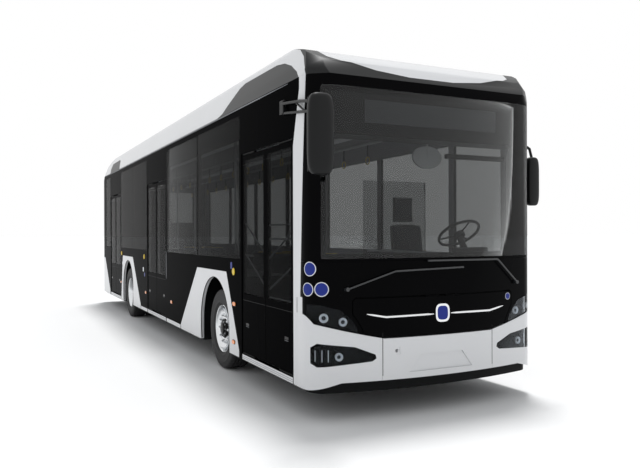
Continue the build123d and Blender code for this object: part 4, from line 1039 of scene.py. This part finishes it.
# %% [markdown]
# Mirrors. The right head is a tall rounded capsule ahead of the windscreen, hung on two thin
# bars with a strut between them; the left one sits close to its pillar. Each head is a sphere
# pulled out to a soft box, with a flat glass in a frame let into its rear face. The inside
# mirror keeps the CAD's plate and stem.

# %% Mirror heads
OUTER_Y = 0.6
inner_mirror = clean(own_copy("mirrors"))
one_finish(inner_mirror, PALE_ABS)
with edited(inner_mirror.data) as bm:
    for part, low, high in list(loose_parts(bm)):
        if abs(low.y + high.y) / 2 > OUTER_Y:
            bmesh.ops.delete(bm, geom=part, context="FACES")
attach(inner_mirror, "coachwork")


def capsule(name, centre, half, mat):
    # A sphere pulled out to a soft box, squarer upright than in plan
    plan, upright = 0.72, 0.42
    rings, steps = 22, 40
    middle = Vector(centre)
    top = Vector((0, 0, half[2]))
    verts = [middle - top]
    for k in range(1, rings):
        v = -QUARTER + math.pi * k / rings
        wide = pull(math.cos(v), upright)
        for i in range(steps):
            u = 2 * math.pi * i / steps
            verts.append(middle + Vector((half[0] * wide * pull(math.cos(u), plan),
                                          half[1] * wide * pull(math.sin(u), plan),
                                          half[2] * pull(math.sin(v), upright))))
    verts.append(middle + top)
    last = len(verts) - 1
    onward = [(i, (i + 1) % steps) for i in range(steps)]
    faces = [(0, 1 + j, 1 + i) for i, j in onward]
    for a in range(1, last - steps, steps):
        faces += [(a + i, a + j, a + steps + j, a + steps + i) for i, j in onward]
    faces += [(last, last - steps + i, last - steps + j) for i, j in onward]
    return piece(name, verts, faces, mat, angle=60.0)


mirror_parts = [
    inner_mirror,
    capsule("mirror_head_right", (6.06, -1.34, 2.4625), (0.060, 0.115, 0.3325), PLASTIC),
    capsule("mirror_head_left", (5.59, 1.380, 2.195), (0.055, 0.075, 0.255), PLASTIC),
    bar("mirror_arm_left", [(5.475, 1.285, 2.600), (5.520, 1.330, 2.590), (5.565, 1.370, 2.540),
                            (5.590, 1.380, 2.430)], 0.015, PLASTIC),
    block("mirror_foot_left", (5.455, 1.262, 2.565), (5.500, 1.300, 2.618), PLASTIC, 0.008),
    block("mirror_foot_right", (5.125, -1.310, 2.765), (5.215, -1.262, 2.895), PLASTIC, 0.008),
    bar("mirror_arm_right", [(5.17, -1.300, 2.865), (5.60, -1.310, 2.815), (5.82, -1.320, 2.775),
                             (5.95, -1.330, 2.755), (6.06, -1.340, 2.720)], 0.014, PLASTIC),
]
for obj in mirror_parts:
    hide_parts("mirrors")
# Mirror heads: name, rear face, middle across, low edge, top edge, half width
MIRROR_HEADS = [("right", 6.0, -1.34, 2.13, 2.795, 0.115), ("left", 5.535, 1.38, 1.94, 2.45, 0.075)]
for name, x, y, z0, z1, half in MIRROR_HEADS:
    glass_y = half - 0.032
    y0, y1 = y - glass_y, y + glass_y
    block("mirror_frame_" + name, (x - 0.0035, y0 - 0.008, z0 + 0.030), (x + 0.030, y1 + 0.008, z1 - 0.030),
          SEAL, 0.003)
    for label, low_z, high_z in (("glass_", z0 + 0.040, z1 - 0.19), ("wide_", z1 - 0.18, z1 - 0.040)):
        block("mirror_" + label + name, (x - 0.0055, y0, low_z), (x - 0.001, y1, high_z), CHROME, 0.0015)
bar("mirror_strut_low", [(5.19, -1.292, 2.775), (5.83, -1.315, 2.690), (6.03, -1.335, 2.65)], 0.013, PLASTIC)
bar("mirror_strut_mid", [(5.50, -1.300, 2.815), (5.70, -1.308, 2.708)], 0.010, PLASTIC)
print("mirror heads:", len(MIRROR_HEADS))

# %% [markdown]
# Seats. A city bus seat is a thin moulded shell with two upholstered pads let into it. The pads
# are crowned: their middle stands up, their sides pull in between the corners, and two sewn
# channels run across. A grid of points is moved to that shape, so it is the same every run.


# %% Pads
def pad(name, place, half_a, half_b, thick, channels=2):
    # A crowned pad in its own axes: A across, B along, Z out of the shell
    n = 22
    seams = [(k + 1) * 2 / (channels + 1) - 1 for k in range(channels)]
    top, bottom = {}, {}
    verts, faces = [], []
    for i in range(n + 1):
        for j in range(n + 1):
            u, v = 2 * i / n - 1, 2 * j / n - 1
            pull_a = 1 - 0.045 * (1 - v * v)
            pull_b = 1 - 0.045 * (1 - u * u)
            edge = (1 - abs(u) ** 6) * (1 - abs(v) ** 6)
            crown = 0.62 + 0.38 * (1 - u * u) * (1 - v * v)
            sewn = sum(math.exp(-((v - c) / 0.05) ** 2) for c in seams)
            height = thick * (0.30 + 0.70 * edge ** 0.5 * crown) - 0.004 * sewn * edge
            a, b = u * half_a * pull_a, v * half_b * pull_b
            top[i, j] = len(verts)
            verts.append(place @ Vector((a, b, height)))
            bottom[i, j] = len(verts)
            verts.append(place @ Vector((a * 0.985, b * 0.985, 0.001)))
    for i in range(n):
        for j in range(n):
            faces.append((top[i, j], top[i + 1, j], top[i + 1, j + 1], top[i, j + 1]))
            faces.append((bottom[i, j], bottom[i, j + 1], bottom[i + 1, j + 1], bottom[i + 1, j]))
    for i in range(n):
        faces.append((top[i, 0], bottom[i, 0], bottom[i + 1, 0], top[i + 1, 0]))
        faces.append((top[i, n], top[i + 1, n], bottom[i + 1, n], bottom[i, n]))
        faces.append((top[0, i], top[0, i + 1], bottom[0, i + 1], bottom[0, i]))
        faces.append((top[n, i], bottom[n, i], bottom[n, i + 1], top[n, i + 1]))
    obj = piece(name, verts, faces, MOQUETTE, angle=60.0)


def leaning(x, y, z, angle):
    # The place of a pad whose face is turned forward about Y, from level at 0
    return moved(x, y, z) @ spun(angle, "Y") @ spun(QUARTER, "Z")


# Side outline of a seat's shell, ahead of its origin and above the floor, and its pan's height
SHELL_LINE = [(0.205, 0.400), (0.195, 0.412), (-0.130, 0.402), (-0.165, 0.412), (-0.182, 0.450),
              (-0.252, 0.985), (-0.262, 0.998), (-0.285, 0.990), (-0.215, 0.430), (-0.190, 0.392),
              (-0.140, 0.382), (0.190, 0.384)]
PAN_Z = 0.38


def seat_shell(name, low, high, stand_in=None):
    # One moulded shell: pan and back in one side outline, thinner at its edges. Gives its origin
    x, y, z = high.x - 0.21, (low.y + high.y) / 2, low.z
    wide = high.y - low.y - 0.004
    rows = []
    for share, shrink in ((-1.0, 0.93), (-0.94, 0.98), (-0.5, 1.0), (0.5, 1.0), (0.94, 0.98), (1.0, 0.93)):
        rows.append([(x + a * shrink - 0.03 * (1 - shrink), y + share * wide / 2,
                      z + PAN_Z + (h - PAN_Z) * shrink) for a, h in SHELL_LINE])
    shell = lofted(name, rows, SHELL_GREY)
    block(name + "_leg", (x - 0.055, y - 0.095, z), (x + 0.055, y + 0.095, z + 0.385), IRON, 0.02)
    if stand_in:
        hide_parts(stand_in)
    return x, y, z


# %% Passenger seats
BACK_TILT = math.atan2(0.090, 0.600)
seats = sorted(part_boxes(NODES["passenger_seats"].data),
               key=lambda box: (round(box[0].x, 3), round(box[0].y, 3)))
for k, (low, high) in enumerate(seats):
    name = "seat" + str(k)
    x, y, z = seat_shell(name + "_shell", low, high, "passenger_seats" if k == 0 else None)
    pad(name + "_cushion", leaning(x + 0.025, y, z + 0.4085, 0.0), 0.195, 0.160, 0.038)
    pad(name + "_back", leaning(x - 0.2185, y, z + 0.715, QUARTER - BACK_TILT), 0.190, 0.235, 0.024,
        channels=3)
    bar(name + "_grip", [(x - 0.262, y - 0.13, z + 0.985), (x - 0.266, y - 0.11, z + 0.9985),
                         (x - 0.266, y + 0.11, z + 0.9985), (x - 0.262, y + 0.13, z + 0.985)], 0.011, YELLOW)
print("passenger seats:", len(seats))

# %% [markdown]
# The driver's seat has thicker pads, a headrest on two posts and a bellows base. Its outline is
# what shows through the windscreen, so the headrest and shoulders have the photograph's height.

# %% Driver's seat and steering wheel
low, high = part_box("driver_seat")
x, y, z = seat_shell("driver_shell", low, high, "driver_seat")
pad("driver_cushion", leaning(x + 0.02, y, z + 0.4085, 0.0), 0.205, 0.175, 0.041)
pad("driver_back", leaning(x - 0.2185, y, z + 0.715, QUARTER - BACK_TILT), 0.205, 0.26, 0.05, channels=3)
pad("driver_headrest", leaning(x - 0.318, y, z + 1.180, QUARTER), 0.135, 0.145, 0.047, channels=0)
block("driver_headrest_shell", (x - 0.329, y - 0.137, z + 1.03), (x - 0.316, y + 0.137, z + 1.328),
      SHELL_GREY, 0.006)
for k, off in enumerate((-0.07, 0.07)):
    bar("driver_headrest_post" + str(k), [(x - 0.29, y + off, z + 0.94), (x - 0.318, y + off, z + 1.05)],
        0.007, CHROME)
folds = [(0.14 - 0.025 * (k % 2), 0.02 + 0.028 * k) for k in range(12)]
turned("driver_bellows", [(0.001, 0.0), *folds, (0.001, 0.335)], moved(x, y, z), 40, PLASTIC)
wheel = NODES["steering_wheel"]
wheel_low, wheel_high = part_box("steering_wheel")
wheel_body = wheel["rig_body"]
STEER_TILT = math.radians(35.0)
mid_x, mid_y, mid_z = [(a + b) / 2 for a, b in zip(wheel_low, wheel_high)]
boss = wheel.matrix_world.translation + Vector((mid_x + 0.008, mid_y, mid_z + 0.011))
steer = moved(*boss) @ spun(-STEER_TILT, "Y")
ring = [(0.225 + 0.0145 * x, 0.0165 * y) for x, y in disc(1.0, 14)]
rim = turned("steering_rim", ring, steer, 72, DASH, wheel_body)
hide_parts("steering_wheel")
turned("steering_boss", [(0.001, -0.045), (0.055, -0.045), (0.060, -0.010), (0.055, 0.004), (0.030, 0.010),
                         (0.001, 0.011)], steer, 40, DASH, wheel_body)
for k, a in enumerate((0.0, 120.0, 240.0)):
    arm = steer @ spun(math.radians(a), "Z")
    spoke = [arm @ Vector(spot) for spot in ((0.04, 0.0, -0.010), (0.13, 0.0, -0.010), (0.218, 0.0, -0.002))]
    bar("steering_spoke" + str(k), spoke, 0.0085, DASH, wheel_body)
print("steering wheel box:", [round(v, 3) for v in (*wheel_low, *wheel_high)])

# %% [markdown]
# Cab and saloon. The dashboard carries a dark cluster under its hood, the ceiling two light
# troughs, and straps with yellow loops hang from rails along the aisle. Hangers and straps
# repeat, so each row is grown by the row tree on a straight line of points.

# %% Cab and saloon fittings
block("cluster", (5.262, 0.60, 1.372), (5.300, 0.96, 1.470), DISPLAY, 0.008)
block("cluster_hood", (5.292, 0.56, 1.350), (5.345, 1.00, 1.505), DASH, 0.012)
block("ticket_unit", (5.02, 0.335, 1.10), (5.14, 0.47, 1.42), GREY, 0.012)
bar("cab_rail", [(3.93, 0.345, 1.45), (5.10, 0.345, 1.45)], 0.016, STEEL)
CEILING_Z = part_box("roof_shell")[0].z
STRAPS, STRAP_PITCH, STRAP_X, LOOP_R = 14, 0.62, -4.3, 0.045
for k, y in enumerate((-0.62, 0.62)):
    block("light_trough" + str(k), (-5.1, y - 0.09, CEILING_Z - 0.022), (4.6, y + 0.09, CEILING_Z + 0.004),
          WHITE_FILM, 0.008)
    rail_y = y * 0.72
    rail_z = CEILING_Z - 0.20
    bar("aisle_rail" + str(k), [(-4.9, rail_y, rail_z), (4.2, rail_y, rail_z)], 0.016, STEEL)
    slats("rail_hangers" + str(k), 8, (1.25, 0.0, 0.0), (0.03, 0.008, 0.205), STEEL,
          (-4.7, rail_y, CEILING_Z - 0.10))
    slats("loop_straps" + str(k), STRAPS, (STRAP_PITCH, 0.0, 0.0), (0.025, 0.006, 0.17), PLASTIC,
          (STRAP_X, rail_y, CEILING_Z - 0.285))
    for m in range(STRAPS):
        loop = [(STRAP_X + STRAP_PITCH * m + b, rail_y, CEILING_Z - 0.405 + a) for a, b in disc(LOOP_R, 16)]
        bar("strap_loop" + str(k) + "_" + str(m), loop, 0.006, YELLOW, ring=True)
print("ceiling at:", round(CEILING_Z, 3))

# %% [markdown]
# The destination sign behind the windscreen is dark and blank: a matt mesh face in a plain
# housing. A rolled sun blind hangs below it on the driver's side.

# %% Sign face and blind
SIGN_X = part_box("sign_box")[1].x
block("sign_face", (SIGN_X - 0.006, -0.745, 2.644), (SIGN_X + 0.004, 0.745, 2.851), SIGN_FACE, 0.003)
block("blind_roll", (5.44, 0.35, 2.40), (5.49, 1.10, 2.45), PLASTIC, 0.012)
print("sign face at:", round(SIGN_X, 3))

# %% [markdown]
# Rear end. The photograph doesn't show it, so it has what such a bus has: upright lamp groups
# with round lenses on both corners, a row of cooling slats in the lid, a blank plate on its
# seat, a high brake light, reflectors and a flush handle.

# %% Rear lamps, slats and plate
FORWARD = (1.0, 0.0, 0.0)
REAR_X = -6.13
REAR_LAMPS = [(1.30, 0.052, RED), (1.17, 0.052, AMBER), (1.04, 0.052, RED), (0.93, 0.040, CLEAR)]
for side, end in SIDES:
    y = side * 1.035
    film("rear_lamp_base_" + end, (REAR_X, y, 1.125), FORWARD, soft_square(0.075, 0.27, 5.0), 0.004, GLOSS)
    for k, (z, radius, mat) in enumerate(REAR_LAMPS):
        film("rear_lamp_rim_" + end + str(k), (REAR_X, y, z), FORWARD, disc(radius), 0.010, CHROME)
        film("rear_lamp_" + end + str(k), (REAR_X, y, z), FORWARD, disc(radius * 0.86), 0.016, mat)
    # The reflector shares the red lamp acrylic and its faint emission: a painted glow on a part that is no
    # lamp
    film("rear_reflector_" + end, (REAR_X, side * 0.98, 0.52), FORWARD, soft_square(0.060, 0.022), 0.006, RED)
film("high_brake_light", (REAR_X, 0.0, 2.93), FORWARD, soft_square(0.24, 0.016), 0.008, RED)
film("rear_plate", (REAR_X, 0.0, 0.55), FORWARD, soft_square(0.26, 0.055, 14.0), 0.003, WHITE_FILM)
lid_body = NODES["rear_lid"]["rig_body"]
lid_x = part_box("rear_lid")[0].x
slats("lid_slats", 14, (0.0, 0.0, 0.030), (0.010, 1.30, 0.012), PLASTIC, (lid_x - 0.001, 0.0, 0.90),
      (0.0, 0.5, 0.0), lid_body)
block("lid_handle", (lid_x - 0.004, -0.09, 1.385), (lid_x + 0.004, 0.09, 1.425), GLOSS, 0.002, lid_body)
print("rear lamps:", 2 * len(REAR_LAMPS))

# %% [markdown]
# Roof. The housings have lids with fine seams, ventilation slats and rows of flat screws along
# their edges. Slats and screws repeat, so the row tree grows both.

# %% Roof details
SCREW_PITCH = 0.3
boxes = sorted(part_boxes(NODES["roof_housings"].data), key=lambda box: -box[0].x)
for k, (low, high) in enumerate(boxes):
    long = high.x - low.x
    slats("roof_vents" + str(k), 12, (0.0, 0.035, 0.0), (min(0.5, long * 0.5), 0.012, 0.008), GREY,
          ((low.x + high.x) / 2, -0.20, high.z - 0.001), (0.4, 0.0, 0.0))
    fits = int(long / SCREW_PITCH)
    for side, end in SIDES:
        slats("roof_screws_" + end + str(k), max(3, fits), (long * 0.9 / max(2, fits - 1), 0.0, 0.0),
              (0.018, 0.018, 0.004), NUT_STEEL, (low.x + long * 0.05, side * 0.845, high.z),
              (0.0, 0.0, 0.785))
    seam = low.x + long * 0.5
    block("roof_seam" + str(k), (seam - 0.0015, -0.86, high.z - 0.001),
          (seam + 0.0015, 0.86, high.z + 0.0006), SEAL, 0.0)
for side, end in SIDES:
    bar("roof_edge_line_" + end, [(x, side * 0.935, 3.432) for x in (4.30, -4.55)], 0.006, PLASTIC)
print("roof housings:", len(boxes))

# %% [markdown]
# Stage. A pale floor that fades into a white surround, a wide soft sky and one soft lamp from
# above, behind and left. The camera, glossy and transmitted rays see a white world, so metal and
# glass show the same background, and the floor keeps the bus's shadow.

# %% Floor, lamps and world
FLOOR_HALF = 400.0
floor_mesh = bpy.data.meshes.new("floor")
corners = [(a * FLOOR_HALF, b * FLOOR_HALF, 0) for a, b in ((-1, -1), (1, -1), (1, 1), (-1, 1))]
floor_mesh.from_pydata(corners, [], [(0, 1, 2, 3)])
FLOOR = grained("matt_floor_paint", "#fdfdfd", 0.95, 8.0, 0.02, ior=1.1)
floor_mesh.materials.append(FLOOR)
floor = in_scene("floor", floor_mesh)

KEY_WAY = Vector((0.22, -0.15, -1.0)).normalized()
key = bpy.data.lights.new("key", "SUN")
key.energy = 2.0
key.angle = math.radians(13.0)
in_scene("key", key).matrix_world = KEY_WAY.to_track_quat("-Z", "Y").to_matrix().to_4x4()

world = bpy.data.worlds.new("studio")
bpy.context.scene.world = world
world.use_nodes = True
tree = world.node_tree
soft = tree.nodes["Background"]
soft.inputs["Color"].default_value = linear("#f4f6f8")
soft.inputs["Strength"].default_value = 0.57
white = add(tree, "ShaderNodeBackground", Color=(1, 1, 1, 1), Strength=1.0)
path = add(tree, "ShaderNodeLightPath")
seen = add(tree, "ShaderNodeMath", [(0, path.outputs["Is Camera Ray"]), (1, path.outputs["Is Glossy Ray"])],
           operation="MAXIMUM")
shown = add(tree, "ShaderNodeMath", [(0, seen.outputs[0]), (1, path.outputs["Is Transmission Ray"])],
            operation="MAXIMUM")
mix = add(tree, "ShaderNodeMixShader",
          [("Fac", shown.outputs[0]), (1, soft.outputs[0]), (2, white.outputs[0])])
tree.links.new(mix.outputs[0], tree.nodes["World Output"].inputs["Surface"])
bpy.context.scene.view_settings.view_transform = "Standard"
print("stage set")
